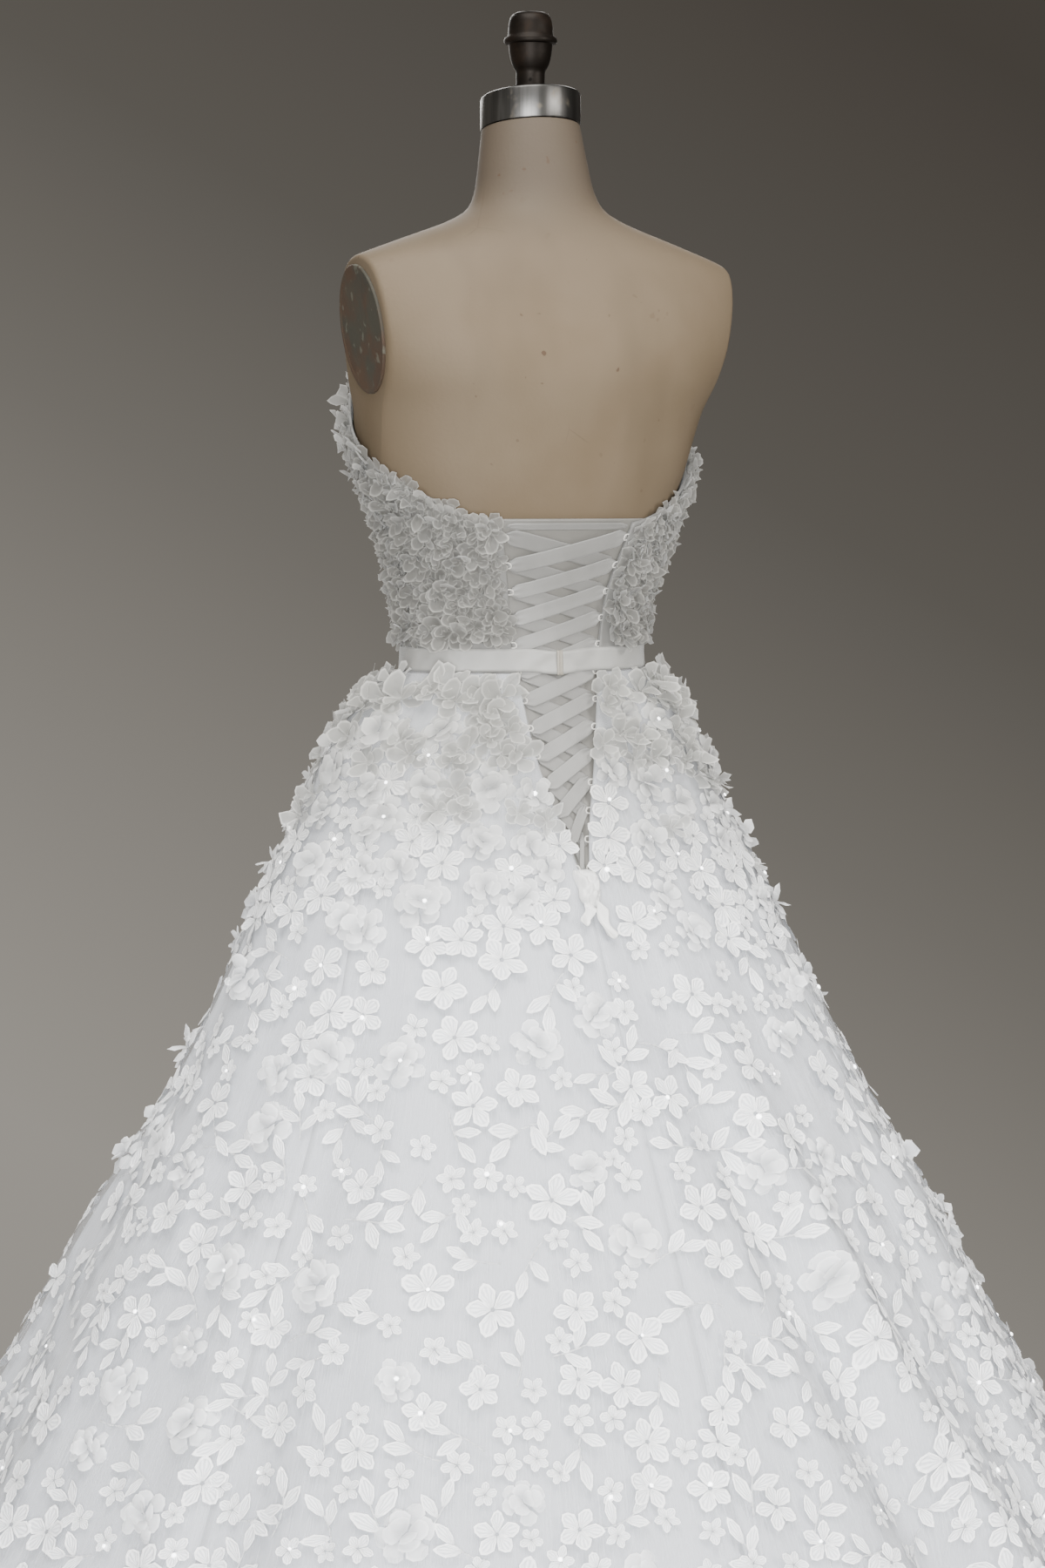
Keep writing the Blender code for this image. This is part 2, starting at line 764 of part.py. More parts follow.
def lace_end(side, row):
    """Where a ribbon turns back at a loop, as the place to the side and the height."""
    height = LACING_TOP_Z - row * LACING_PITCH
    reach = gap_at(height) - loop_reach(height) - LOOP_CORD_RADIUS - LACE_END_GAP
    return Vector((side * reach, height))


def lace(name, finish, start, end, layer, widest=RIBBON_WIDTH):
    """One stretch of ribbon from the left edge's loop to the right edge's, narrowed at both."""
    run = end - start
    across = Vector((-run.y, run.x)).normalized()
    room = LACING_PITCH * abs(run.x) / run.length
    width = min(widest, LACE_SHARE_OF_PITCH * room)
    tuck = Vector((-0.5 * RIBBON_TIP * width * abs(across.x), 0.0))
    start, run = start + tuck, run - 2 * tuck

    def place(u, v):
        narrow = between(RIBBON_TIP, 1.0, ease(min(u, 1 - u) * run.length / RIBBON_TAPER))
        spot = start + run * u + across * (0.5 - v) * width * narrow
        return angle_at(spot.x, spot.y), spot.y

    outer = -LACE_SINK - layer * (RIBBON_THICK + LACE_LAYER_GAP)
    cloth(name, finish, place, 6, 1, outer - RIBBON_THICK, outer)


def make_laces(finish):
    above = Vector((0.0, TOP_LACE_RISE))
    lace("lace_top", finish, lace_end(1, 0) + above, lace_end(-1, 0) + above, 1, TOP_LACE_WIDTH)
    for row in range(LACING_CROSSINGS):
        number = "%02d" % (row + 1)
        lace("lace_over_" + number, finish, lace_end(1, row + 1), lace_end(-1, row), 0)
        lace("lace_under_" + number, finish, lace_end(1, row), lace_end(-1, row + 1), 1)


def make_loops(finish):
    """A fine cord along each edge, which stands out in a loop at each row of the lacing."""
    depth = -CLOTH / 2
    for side, word in ((1, "left"), (-1, "right")):
        route = []
        for row in range(LACING_CROSSINGS + 1):
            middle = LACING_TOP_Z - row * LACING_PITCH
            reach = loop_reach(middle)
            for share, rise in LOOP_SHAPE:
                height = middle + rise * LOOP_HALF_HEIGHT
                x = gap_at(height) - share * reach
                route.append(gown(side * angle_at(x, height), height, depth))
        curve = bpy.data.curves.new("loops_" + word, "CURVE")
        curve.dimensions = "3D"
        curve.bevel_depth = LOOP_CORD_RADIUS
        curve.bevel_resolution = 0
        curve.use_fill_caps = True
        line = curve.splines.new("POLY")
        line.points.add(len(route) - 1)
        for point, spot in zip(line.points, route):
            point.co = (*spot, 1.0)
        add_object("loops_" + word, curve, finish)


def make_knot(finish):
    """The tied end of the lacing, with its two short tails."""
    wide, high = KNOT_HALF

    def knot(u, v):
        bulge = 1 - KNOT_NARROWING * abs(2 * v - 1) ** 2
        height = KNOT_Z + high * (2 * v - 1)
        return angle_at(wide * bulge * (1 - 2 * u), height), height

    cloth("lace_knot", finish, knot, 4, 4, KNOT_GAP, KNOT_GAP + KNOT_THICK)
    for side, word in ((1, "left"), (-1, "right")):

        def tail(u, v):
            height = KNOT_Z - high - SEAM_GAP - TAIL_LENGTH * (1 - v)
            middle = side * (TAIL_START_X + TAIL_SPLAY * (1 - v))
            return angle_at(middle + TAIL_WIDTH * (0.5 - u), height), height

        cloth("lace_tail_" + word, finish, tail, 2, 4, KNOT_GAP, KNOT_GAP + RIBBON_THICK)


GROUP = "dress_on_form"


def main():
    for old in list(bpy.data.objects):
        bpy.data.objects.remove(old)
    bpy.context.scene.collection.objects.link(bpy.data.objects.new(GROUP, None))
    plaster = material("form_linen", (0.43, 0.35, 0.26), 0.75)
    chrome = material("polished_chrome", (0.75, 0.73, 0.70), 0.18, 1.0)
    iron = material("dark_iron", (0.035, 0.030, 0.027), 0.45, 0.8)
    patina = material("aged_bronze", (0.13, 0.11, 0.08), 0.55, 0.6)
    tulle = material("embroidered_tulle", (0.80, 0.81, 0.81), 0.7)
    satin = material("ivory_satin", (0.74, 0.72, 0.69), 0.35)
    draws = random.Random(SEED)
    make_form(plaster, chrome, iron, patina)
    make_bodice(tulle, draws)
    make_skirt(tulle, draws)
    make_modesty_panel(satin)
    make_belt(satin)
    make_laces(satin)
    make_loops(satin)
    make_knot(satin)


main()
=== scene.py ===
import math
import random

import bmesh
import bpy
import numpy as np
from mathutils import Matrix, Vector


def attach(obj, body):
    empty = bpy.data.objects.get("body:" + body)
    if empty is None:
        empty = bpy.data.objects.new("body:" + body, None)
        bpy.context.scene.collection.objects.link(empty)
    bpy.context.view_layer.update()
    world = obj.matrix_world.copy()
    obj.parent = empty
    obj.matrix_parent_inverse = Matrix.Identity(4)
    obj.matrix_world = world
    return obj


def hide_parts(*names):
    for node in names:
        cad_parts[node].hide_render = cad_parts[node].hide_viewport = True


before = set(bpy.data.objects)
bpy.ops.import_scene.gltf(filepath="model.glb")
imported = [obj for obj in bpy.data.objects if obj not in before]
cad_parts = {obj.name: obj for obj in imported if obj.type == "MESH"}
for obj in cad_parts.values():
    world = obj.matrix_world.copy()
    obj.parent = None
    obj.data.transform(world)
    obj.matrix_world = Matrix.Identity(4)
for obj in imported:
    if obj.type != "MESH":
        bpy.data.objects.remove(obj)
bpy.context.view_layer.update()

# ---- Sizes in metres: nearly all are the solids' own, so that both have one shape ----

AXIS_Y = 0.024
HEM_Z = 0.012
ABOVE_FLOOR = 0.003  # The lowest that any cloth hangs.
WAIST_SEAM_Z = 1.0685
SEAM_GAP = 0.0003
CLOTH = 0.0024
FORM_CLEARANCE = 0.0022
MODESTY_THICK = 0.0012
MODESTY_GAP = 0.0008

# The form's outline: height, half width, half depth, and how far the section's middle lies behind the axis.
FORM_SECTIONS = (
    (0.780, 0.158, 0.110, -0.008),
    (0.860, 0.164, 0.112, -0.008),
    (0.920, 0.157, 0.106, -0.011),
    (0.970, 0.144, 0.094, -0.014),
    (1.020, 0.127, 0.083, -0.017),
    (1.060, 0.1170, 0.0775, -0.018),
    (1.085, 0.1145, 0.0755, -0.018),
    (1.110, 0.1145, 0.0760, -0.018),
    (1.150, 0.1210, 0.0815, -0.016),
    (1.200, 0.1350, 0.0970, -0.010),
    (1.250, 0.1530, 0.1080, -0.006),
    (1.290, 0.1640, 0.1140, -0.003),
    (1.315, 0.1710, 0.1140, 0.003),
    (1.340, 0.1860, 0.1110, 0.010),
    (1.365, 0.2000, 0.1060, 0.015),
    (1.390, 0.2090, 0.0990, 0.018),
    (1.415, 0.2110, 0.0900, 0.020),
    (1.435, 0.2030, 0.0810, 0.021),
    (1.448, 0.1840, 0.0750, 0.021),
    (1.459, 0.1550, 0.0700, 0.020),
    (1.470, 0.1240, 0.0650, 0.018),
    (1.482, 0.0900, 0.0600, 0.015),
    (1.494, 0.0670, 0.0560, 0.012),
    (1.510, 0.0570, 0.0530, 0.009),
    (1.535, 0.0515, 0.0500, 0.005),
    (1.571, 0.0458, 0.0458, 0.000),
)
NECK_TILT = math.tan(math.radians(8))
NECK_TILT_FROM_Z = 1.50
NECK_TOP_Z = 1.571
BUST_ANGLE = math.radians(143)
BUST_Z = 1.285
BUST_SPREAD = math.radians(27)
BUST_HEIGHT = 0.044
BUST_RISE = 0.14
ARM_PLANE_X = 0.173
ARM_PLANE_Z = 1.383
ARM_PLANE_LEAN = math.radians(8.5)
ARM_PLATE_HALF = (0.050, 0.059)
ARM_PLATE_Y = 0.016
ARM_RIM = 0.0035

# The skirt's outside below the seam: height, half width, half depth, and middle behind the axis.
SKIRT_SECTIONS = (
    (0.000, 0.714, 0.655, -0.025),
    (0.150, 0.633, 0.572, -0.025),
    (0.300, 0.549, 0.490, -0.025),
    (0.450, 0.463, 0.404, -0.025),
    (0.550, 0.411, 0.348, -0.025),
    (0.650, 0.350, 0.286, -0.025),
    (0.750, 0.298, 0.226, -0.027),
    (0.850, 0.254, 0.172, -0.032),
    (0.900, 0.230, 0.148, -0.034),
    (0.950, 0.204, 0.127, -0.035),
    (1.000, 0.184, 0.109, -0.032),
    (1.040, 0.156, 0.0945, -0.0255),
    (1.056, 0.141, 0.0880, -0.0215),
)

# The skirt's long folds: angle, depth at the hem (a valley below 0), half width, height where it starts.
SKIRT_FOLDS = (
    (-12, 0.020, 13, 0.80),
    (-31, -0.022, 9, 0.92),
    (-47, 0.018, 11, 0.84),
    (-66, -0.030, 8, 0.98),
    (-84, 0.012, 12, 0.86),
    (-106, -0.024, 10, 0.90),
    (-127, 0.022, 12, 0.78),
    (-149, -0.020, 10, 0.86),
    (-170, 0.016, 11, 0.74),
    (168, -0.018, 10, 0.82),
    (148, 0.022, 12, 0.80),
    (128, -0.022, 9, 0.90),
    (109, 0.024, 11, 0.82),
    (96, -0.024, 9, 0.94),
    (79, 0.021, 10, 0.84),
    (64, -0.014, 7, 0.70),
    (50, -0.030, 9, 0.96),
    (31, 0.020, 11, 0.82),
    (10, -0.016, 8, 0.72),
)

# Softer creases that only the cloth itself has: angle where it starts, angle at the hem, height where it
# starts, depth at the hem (a trough below 0), half width in degrees.
CREASES = (
    (-6, -32, 0.88, -0.052, 8),
    (-12, -40, 0.93, 0.028, 7),
    (-37, -46, 0.74, -0.026, 8),
    (-62, -66, 0.82, 0.014, 7),
    (-92, -95, 0.85, -0.018, 7),
    (-118, -121, 0.75, 0.014, 7),
    (-150, -146, 0.80, -0.020, 8),
    (176, 179, 0.70, 0.012, 8),
    (151, 153, 0.82, -0.018, 8),
    (118, 122, 0.72, -0.020, 7),
    (96, 99, 0.75, 0.012, 7),
    (61, 58, 0.86, -0.010, 7),
    (38, 38, 0.76, 0.010, 8),
    (17, 15, 0.64, -0.012, 7),
)

# The lacing's half gap by height.
POINT_Z = 0.874
LACING_GAP = (
    (POINT_Z, SEAM_GAP / 2),
    (0.876, 0.0020),
    (0.900, 0.0075),
    (0.925, 0.0130),
    (0.952, 0.0200),
    (0.980, 0.0270),
    (1.020, 0.0340),
    (1.060, 0.0395),
    (1.090, 0.0440),
    (1.120, 0.0470),
    (1.150, 0.0510),
    (1.190, 0.0610),
    (1.215, 0.0680),
)
LACING_TOP_Z = 1.196
LACING_PITCH = 0.0253
LACING_CROSSINGS = 12
LOOP_REACH = 0.005
LOOP_SHARE_OF_GAP = 0.42
LOOP_CORD_RADIUS = 0.0008
LOOP_EDGE_GAP = 0.0028
SHOWN_EDGE_GAP = 0.0004
RIBBON_THICK = 0.001
RIBBON_WIDTH = 0.0145
RIBBON_THROUGH_LOOP = 0.0060
RIBBON_TAPER = 0.0075
LACE_SINK = 0.0001
LACE_END_GAP = 0.0011
LACE_LAYER_GAP = 0.0006
TOP_LACE_RISE = 0.0098
TOP_LACE_WIDTH = 0.006

NECKLINE = (
    (0, 1.207),
    (20, 1.209),
    (40, 1.218),
    (60, 1.236),
    (80, 1.256),
    (100, 1.284),
    (120, 1.322),
    (145, 1.345),
    (163, 1.333),
    (180, 1.306),
)
MODESTY_TOP_Z = 1.212
MODESTY_BOTTOM_Z = 0.884
MODESTY_LAP = 0.016

BODICE_SEAMS = (47, 90, 139)
SKIRT_SEAMS = (54, 126)

BELT_Z = 1.0808
BELT_WIDTH = 0.022
BELT_THICK = 0.0015
BELT_GAP = 0.0008
BELT_DIP = 0.003
BELT_DIP_SPREAD = math.radians(9)
CLOSURE_WIDTH = 0.006
LAYER_GAP = 0.0003

KNOT_Z = 0.866
KNOT_HALF = (0.009, 0.008)
KNOT_THICK = 0.007
KNOT_GAP = 0.0013
KNOT_ROOM_X = 0.05
KNOT_ROOM_Z = 0.79
KNOT_ROOM_TOP_Z = 0.892
KNOT_ROOM = 0.0125
TAIL_LENGTH = 0.046
TAIL_WIDTH = 0.011

# The raised flowers that the solids have: small and large radius, their lowest and highest places, room round
# them, and how they are drawn.
BODICE_FLOWER = (0.0135, 0.0175)
BODICE_FLOWERS_FROM_Z = BELT_Z + 0.030
SKIRT_FLOWER = (0.021, 0.028)
SKIRT_FLOWERS_TO_Z = 1.03
FLOWER_MARGIN = 0.003
FLOWER_GAP = 0.001
TRIES_PER_FLOWER = 40
SEED = 41

POLE_RADIUS = 0.0145
BASE_TOP_Z = 0.034
COLLAR_RADIUS = 0.0466
COLLAR_HEIGHT = 0.030

# The camera: it stands behind the gown and to its left, and sees a frame of 1200 by 1800 pixels.
CAMERA_AZIMUTH = math.radians(156)
CAMERA_DISTANCE = 3.2
CAMERA_Z = 1.24
RADIANS_PER_PIXEL = 0.000256
FRAME_MIDDLE = (600, 900)
HORIZON_PIXEL = 560
AXIS_PIXEL = 609
SENSOR_MM = 36


# ---- Surfaces: every function takes arrays of angles and heights ----


def smooth_row(table, at):
    """The table's other columns at these values of its first, on a smooth curve through its rows."""
    rows = np.array(table)
    at = np.clip(np.asarray(at, float), rows[0, 0], rows[-1, 0])
    last = len(rows) - 1
    i = np.clip(np.searchsorted(rows[:, 0], at) - 1, 0, last - 1)
    low, high = rows[i], rows[i + 1]
    rise_in = high - rows[np.maximum(i - 1, 0)]
    rise_out = rows[np.minimum(i + 2, last)] - low
    span = high[..., :1] - low[..., :1]
    t = (at[..., None] - low[..., :1]) / span
    found = low[..., 1:] * (2 * t**3 - 3 * t**2 + 1) + high[..., 1:] * (3 * t**2 - 2 * t**3)
    found += rise_in[..., 1:] / rise_in[..., :1] * span * (t**3 - 2 * t**2 + t)
    found += rise_out[..., 1:] / rise_out[..., :1] * span * (t**3 - t**2)
    return np.moveaxis(found, -1, 0)


def ease(value):
    """From 0 to 1 as the value goes from 0 to 1, with soft ends."""
    value = np.clip(value, 0.0, 1.0)
    return value * value * (3 - 2 * value)


def turn_from(angle, middle):
    """The turn from one angle to another, between -pi and pi."""
    return (angle - middle + np.pi) % (2 * np.pi) - np.pi


def section_point(angle, height, half_width, half_depth, middle):
    x = half_width * np.sin(angle)
    y = AXIS_Y + middle + half_depth * np.cos(angle)
    return np.stack(np.broadcast_arrays(x, y, height), axis=-1).astype(float)


def form_point(angle, height):
    """Points on the form, with its cups, and its neck cut at a slant."""
    half_width, half_depth, middle = smooth_row(FORM_SECTIONS, height)
    cup = sum(np.exp(-((turn_from(angle, side) / BUST_SPREAD) ** 2)) for side in (BUST_ANGLE, -BUST_ANGLE))
    fill = 1 + BUST_RISE * cup * np.exp(-(((height - BUST_Z) / BUST_HEIGHT) ** 2))
    point = section_point(angle, height, half_width * fill, half_depth * fill, middle)
    slant = ease((height - NECK_TILT_FROM_Z) / (NECK_TOP_Z - NECK_TILT_FROM_Z))
    point[..., 2] += NECK_TILT * slant * (point[..., 1] - AXIS_Y)
    return point


def unit(vectors):
    return vectors / np.linalg.norm(vectors, axis=-1, keepdims=True)


def moved_out(surface, angle, height, distance):
    """Points of the surface, moved along the surface's normal."""
    step = 0.002
    along = surface(angle + step, height) - surface(angle - step, height)
    up = surface(angle, height + step) - surface(angle, height - step)
    return surface(angle, height) + np.asarray(distance)[..., None] * unit(np.cross(up, along))


def lace_room(angle):
    """How much further from the form the cloth lies round the lacing, for the panel behind it."""
    off_centre = np.abs(turn_from(angle, 0))
    return (MODESTY_THICK + MODESTY_GAP) * (1 - ease((off_centre - math.radians(46)) / math.radians(20)))


def fold_at(angle, height):
    depth = np.zeros(np.broadcast(angle, height).shape)
    for middle, deep, half_width, top in SKIRT_FOLDS:
        off = np.abs(turn_from(angle, math.radians(middle))) / math.radians(half_width)
        below = np.clip((top - height) / top, 0, None)
        depth += deep * below**1.3 * (1 - ease(off))
    return depth


FORM_TO_OUTSIDE = FORM_CLEARANCE + CLOTH
SEAM_SECTION = smooth_row(FORM_SECTIONS, WAIST_SEAM_Z)
GOWN_SECTIONS = SKIRT_SECTIONS + (
    (WAIST_SEAM_Z, *(float(half) + FORM_TO_OUTSIDE for half in SEAM_SECTION[:2]), float(SEAM_SECTION[2])),
)


def skirt_point(angle, height):
    """Points on the skirt, with its long folds."""
    point = section_point(angle, height, *smooth_row(GOWN_SECTIONS, height))
    fold = fold_at(angle, height)
    point[..., 0] += fold * np.sin(angle)
    point[..., 1] += fold * np.cos(angle)
    return point


def gown(angle, height, out=0.0):
    """Points on the gown's plain outside, or this far out from it."""
    angle, height, out = np.broadcast_arrays(*(np.asarray(x, float) for x in (angle, height, out)))
    out = out + lace_room(angle)
    body = moved_out(form_point, angle, height, FORM_TO_OUTSIDE + out)
    skirt = moved_out(skirt_point, angle, height, out)
    skirt[..., 2] = np.maximum(skirt[..., 2], ABOVE_FLOOR)
    return np.where((height >= WAIST_SEAM_Z)[..., None], body, skirt)


def half_width_at(height):
    body = smooth_row(FORM_SECTIONS, height)[0] + FORM_TO_OUTSIDE
    return np.where(np.asarray(height) >= WAIST_SEAM_Z, body, smooth_row(GOWN_SECTIONS, height)[0])


def angle_at(x, height):
    """The angle near the centre back where the gown lies this far to the side."""
    return np.arcsin(x / half_width_at(height))


def neckline(angle):
    return smooth_row(NECKLINE, np.degrees(np.abs(turn_from(angle, 0))))[0]


def gap_at(height):
    """Half the width of the laced opening, down to a seam below its point."""
    return np.where(np.asarray(height) <= POINT_Z, SEAM_GAP / 2, smooth_row(LACING_GAP, height)[0])


def metres_per_turn(angle, height):
    """How far the gown's surface runs for a small turn, and for a small rise."""
    around = np.linalg.norm(gown(angle + 0.005, height) - gown(angle - 0.005, height), axis=-1) / 0.01
    upward = np.linalg.norm(gown(angle, height + 0.002) - gown(angle, height - 0.002), axis=-1) / 0.004
    return around, upward


def between(low, high, u):
    return low + (high - low) * u


def seam_edge(degrees, side):
    """An edge at a seam: the side says on which side of the seam the cloth lies."""
    angle = math.radians(degrees)

    def edge(height):
        angles = np.full(np.shape(height), angle)
        return angles + side * SEAM_GAP / 2 / metres_per_turn(angles, np.asarray(height, float))[0]

    return edge


def lacing_edge(side, gap):
    """The back panels' edge along the laced opening and the seam below it, this far from the cord."""

    def edge(height):
        room = gap * ease((np.asarray(height) - POINT_Z) / 0.01)
        return side * angle_at(gap_at(height) + room, height)

    return edge


def bodice_patch(left_edge, right_edge):
    """A patch of the bodice between two edges, each an angle by height, from the waist to the neckline."""
    bottom = np.array(WAIST_SEAM_Z)

    def place(u, v):
        rough = between(left_edge(bottom), right_edge(bottom), u)
        height = between(WAIST_SEAM_Z, neckline(rough), v**1.25)
        return between(left_edge(height), right_edge(height), u), height

    return place


def skirt_patch(left_edge, right_edge):

    def place(u, v):
        height = between(WAIST_SEAM_Z - SEAM_GAP, HEM_Z, (1 - v) ** 1.8)
        return between(left_edge(height), right_edge(height), u), height

    return place


# ---- Finishes ----


NOISE_ROUGHNESS = 0.55
# The painted shade towards the waist: the tone a white is multiplied by there, and the heights over which it
# comes in.
WAIST_SHADE_TONE = (0.51, 0.498, 0.466)
WAIST_SHADE_HEIGHTS = (0.78, 1.04)


class Channel:
    """A shader socket that Python's own signs work on."""

    def __init__(self, finish, socket):
        self.finish = finish
        self.socket = socket

    def maths(self, operation, *values):
        return self.finish.node("Math", {"operation": operation}, dict(enumerate(values)))

    def __add__(self, other):
        return self.maths("ADD", self, other)

    def __sub__(self, other):
        return self.maths("SUBTRACT", self, other)

    def __rsub__(self, other):
        return self.maths("SUBTRACT", other, self)

    def __mul__(self, other):
        return self.maths("MULTIPLY", self, other)

    def __truediv__(self, other):
        return self.maths("DIVIDE", self, other)

    def __pow__(self, other):
        return self.maths("POWER", self, other)

    def low(self, other):
        return self.maths("MINIMUM", self, other)

    def sine(self):
        return self.maths("SINE", self)

    def ramp(self, start, end):
        """0 below the start, 1 above the end, and soft between."""
        settings = {"interpolation_type": "SMOOTHSTEP"}
        return self.finish.node("MapRange", settings, {"Value": self, "From Min": start, "From Max": end})

    __radd__ = __add__
    __rmul__ = __mul__


class Finish:
    """A procedural material: constants on the shader's own sockets, and what varies is linked to some."""

    def __init__(self, name, **constants):
        self.material = bpy.data.materials.new(name)
        self.material.use_nodes = True
        self.nodes = self.material.node_tree.nodes
        self.links = self.material.node_tree.links
        self.shader = self.nodes["Principled BSDF"]
        for socket, value in constants.items():
            self.shader.inputs[socket.replace("_", " ")].default_value = value

    def node(self, kind, settings=None, values=None, output=0):
        """Any node, from its type, its settings, and the values or links of its sockets."""
        made = self.nodes.new("ShaderNode" + kind)
        for name, value in (settings or {}).items():
            setattr(made, name, value)
        for socket, value in (values or {}).items():
            if isinstance(value, Channel):
                self.links.new(value.socket, made.inputs[socket])
            else:
                made.inputs[socket].default_value = value
        return Channel(self, made.outputs[output])

    def places(self, scale=(1.0, 1.0, 1.0), source="Object"):
        """Where a point is, on the object or in its UV map in metres."""
        spot = self.node("TexCoord", output=source)
        return self.node("Mapping", values={"Vector": spot, "Scale": scale})

    def height(self):
        return self.node("SeparateXYZ", values={"Vector": self.places()}, output=2)

    def noise(self, scale, detail=3.0, stretch=(1.0, 1.0, 1.0), source="Object"):
        spot = self.places(stretch, source)
        values = {"Vector": spot, "Scale": scale, "Detail": detail, "Roughness": NOISE_ROUGHNESS}
        return self.node("TexNoise", values=values)

    def mixed(self, share, first, second, blend="MIX"):
        """A colour between two, each a colour or a channel."""
        first, second = (item if isinstance(item, Channel) else (*item, 1.0) for item in (first, second))
        settings = {"data_type": "RGBA", "blend_type": blend}
        return self.node("Mix", settings, {0: share, 6: first, 7: second}, 2)

    def bumped(self, height, strength, distance):
        values = {"Height": height, "Strength": strength, "Distance": distance}
        self.feeds(Normal=self.node("Bump", values=values))

    def feeds(self, **channels):
        """Links channels to the shader's sockets of these names."""
        for socket, channel in channels.items():
            self.links.new(channel.socket, self.shader.inputs[socket.replace("_", " ")])

    def across(self, output):
        """One of the UV map's numbers."""
        spot = self.node("TexCoord", output="UV")
        return self.node("SeparateXYZ", values={"Vector": spot}, output=output)

    def shaded_towards_waist(self, colour):
        """Darkens and warms a white towards the waist: painted shade, as less light falls up there."""
        return self.mixed(self.height().ramp(*WAIST_SHADE_HEIGHTS), colour, WAIST_SHADE_TONE, "MULTIPLY")

    def let_light_through(self, share, colour):
        """Mixes in light that comes through the cloth from behind."""
        through = self.nodes.new("ShaderNodeBsdfTranslucent")
        through.inputs["Color"].default_value = (*colour, 1.0)
        both = self.nodes.new("ShaderNodeMixShader")
        both.inputs[0].default_value = share
        self.links.new(self.shader.outputs[0], both.inputs[1])
        self.links.new(through.outputs[0], both.inputs[2])
        self.links.new(both.outputs[0], self.nodes["Material Output"].inputs["Surface"])


def form_linen_finish():
    made = Finish("form_linen", Roughness=0.72, Specular_IOR_Level=0.3)
    cloudy = made.noise(5.0, 4.0)
    streaks = made.noise(9.0, 3.0, (1.0, 1.0, 0.35))
    colour = made.mixed(cloudy.ramp(0.38, 0.68), (0.112, 0.083, 0.052), (0.095, 0.068, 0.039))
    colour = made.mixed(streaks.ramp(0.50, 0.72) * 0.6, colour, (0.083, 0.060, 0.035))
    height = made.height()
    # Darker over the shoulders, and darker still up the neck.
    colour = made.mixed(height.ramp(1.34, 1.46) * 0.35, colour, (0.066, 0.050, 0.034))
    colour = made.mixed(height.ramp(1.44, 1.53) * 0.65, colour, (0.041, 0.032, 0.024))
    specks = made.noise(95.0, 1.0).ramp(0.715, 0.74) * made.noise(7.0).ramp(0.42, 0.58)
    colour = made.mixed(specks * 0.8, colour, (0.048, 0.025, 0.012))
    spot = made.places((1.0, 1.0, 0.6))
    paths = made.node("TexVoronoi", {"feature": "DISTANCE_TO_EDGE"}, {"Vector": spot, "Scale": 10.0})
    cracks = (1 - paths.ramp(0.0, 0.006)) * made.noise(6.0, 2.0).ramp(0.60, 0.66)
    colour = made.mixed(cracks * 0.7, colour, (0.064, 0.045, 0.028))
    made.feeds(Base_Color=colour, Roughness=0.62 + cloudy * 0.2)
    fine = made.noise(260.0, 2.0)
    made.bumped(fine * 0.5 + cloudy * 2.0 - cracks, 0.22, 0.0012)
    return made.material


def chrome_finish():
    made = Finish("polished_chrome", Metallic=1.0)
    worn = made.noise(60.0, 4.0).ramp(0.55, 0.75)
    streaks = made.noise(130.0, 3.0, (1.0, 1.0, 0.04))
    colour = made.mixed(streaks.ramp(0.35, 0.65), (0.060, 0.058, 0.054), (0.096, 0.093, 0.089))
    colour = made.mixed(worn * 0.6, colour, (0.16, 0.13, 0.09))
    made.feeds(Base_Color=colour, Roughness=0.38 + worn * 0.22)
    made.bumped(streaks, 0.06, 0.0004)
    return made.material


def iron_finish():
    made = Finish("dark_iron", Metallic=0.7, Specular_IOR_Level=0.3)
    rubbed = made.noise(28.0, 4.0)
    colour = made.mixed(rubbed.ramp(0.45, 0.72), (0.006, 0.0040, 0.0025), (0.018, 0.0105, 0.006))
    made.feeds(Base_Color=colour, Roughness=0.38 + rubbed * 0.30)
    made.bumped(made.noise(190.0, 3.0), 0.25, 0.0004)
    return made.material


# Near black: the painted shade inside the set screw's hole.
def hole_shade_finish():
    made = Finish("hole_painted_shade", Specular_IOR_Level=0.1)
    colour = made.mixed(made.noise(90.0), (0.002, 0.0015, 0.001), (0.004, 0.003, 0.002))
    made.feeds(Base_Color=colour, Roughness=0.8 + made.noise(60.0) * 0.1)
    return made.material


def bronze_finish():
    made = Finish("aged_bronze", Metallic=0.35)
    cloud = made.noise(24.0, 5.0)
    spots = made.noise(90.0, 2.0).ramp(0.62, 0.72)
    colour = made.mixed(cloud.ramp(0.42, 0.62), (0.058, 0.035, 0.021), (0.043, 0.040, 0.029))
    colour = made.mixed(spots * 0.5, colour, (0.13, 0.135, 0.105))
    made.feeds(Base_Color=colour, Roughness=0.5 + cloud * 0.25)
    made.bumped(cloud + spots * 0.4, 0.35, 0.0010)
    return made.material


WEAVE = 9000.0


def satin_finish(name, colour, shade, roughness=0.40):
    """Smooth satin: a fine weave that only shows close to, and slow changes of tone."""
    made = Finish(name, Sheen_Weight=0.25, Sheen_Roughness=0.4, Specular_IOR_Level=0.45)
    cloud = made.noise(22.0, 3.0, (1.0, 1.0, 0.5))
    mottled = made.mixed(cloud.ramp(0.35, 0.7) * 0.6, colour, shade)
    made.feeds(Base_Color=mottled, Roughness=roughness + cloud * 0.15)
    weave = (made.across(0) * WEAVE).sine() * 0.5 + (made.across(1) * WEAVE).sine() * 0.5
    made.bumped(weave * 0.12 + cloud, 0.30, 0.0006)
    return made.material


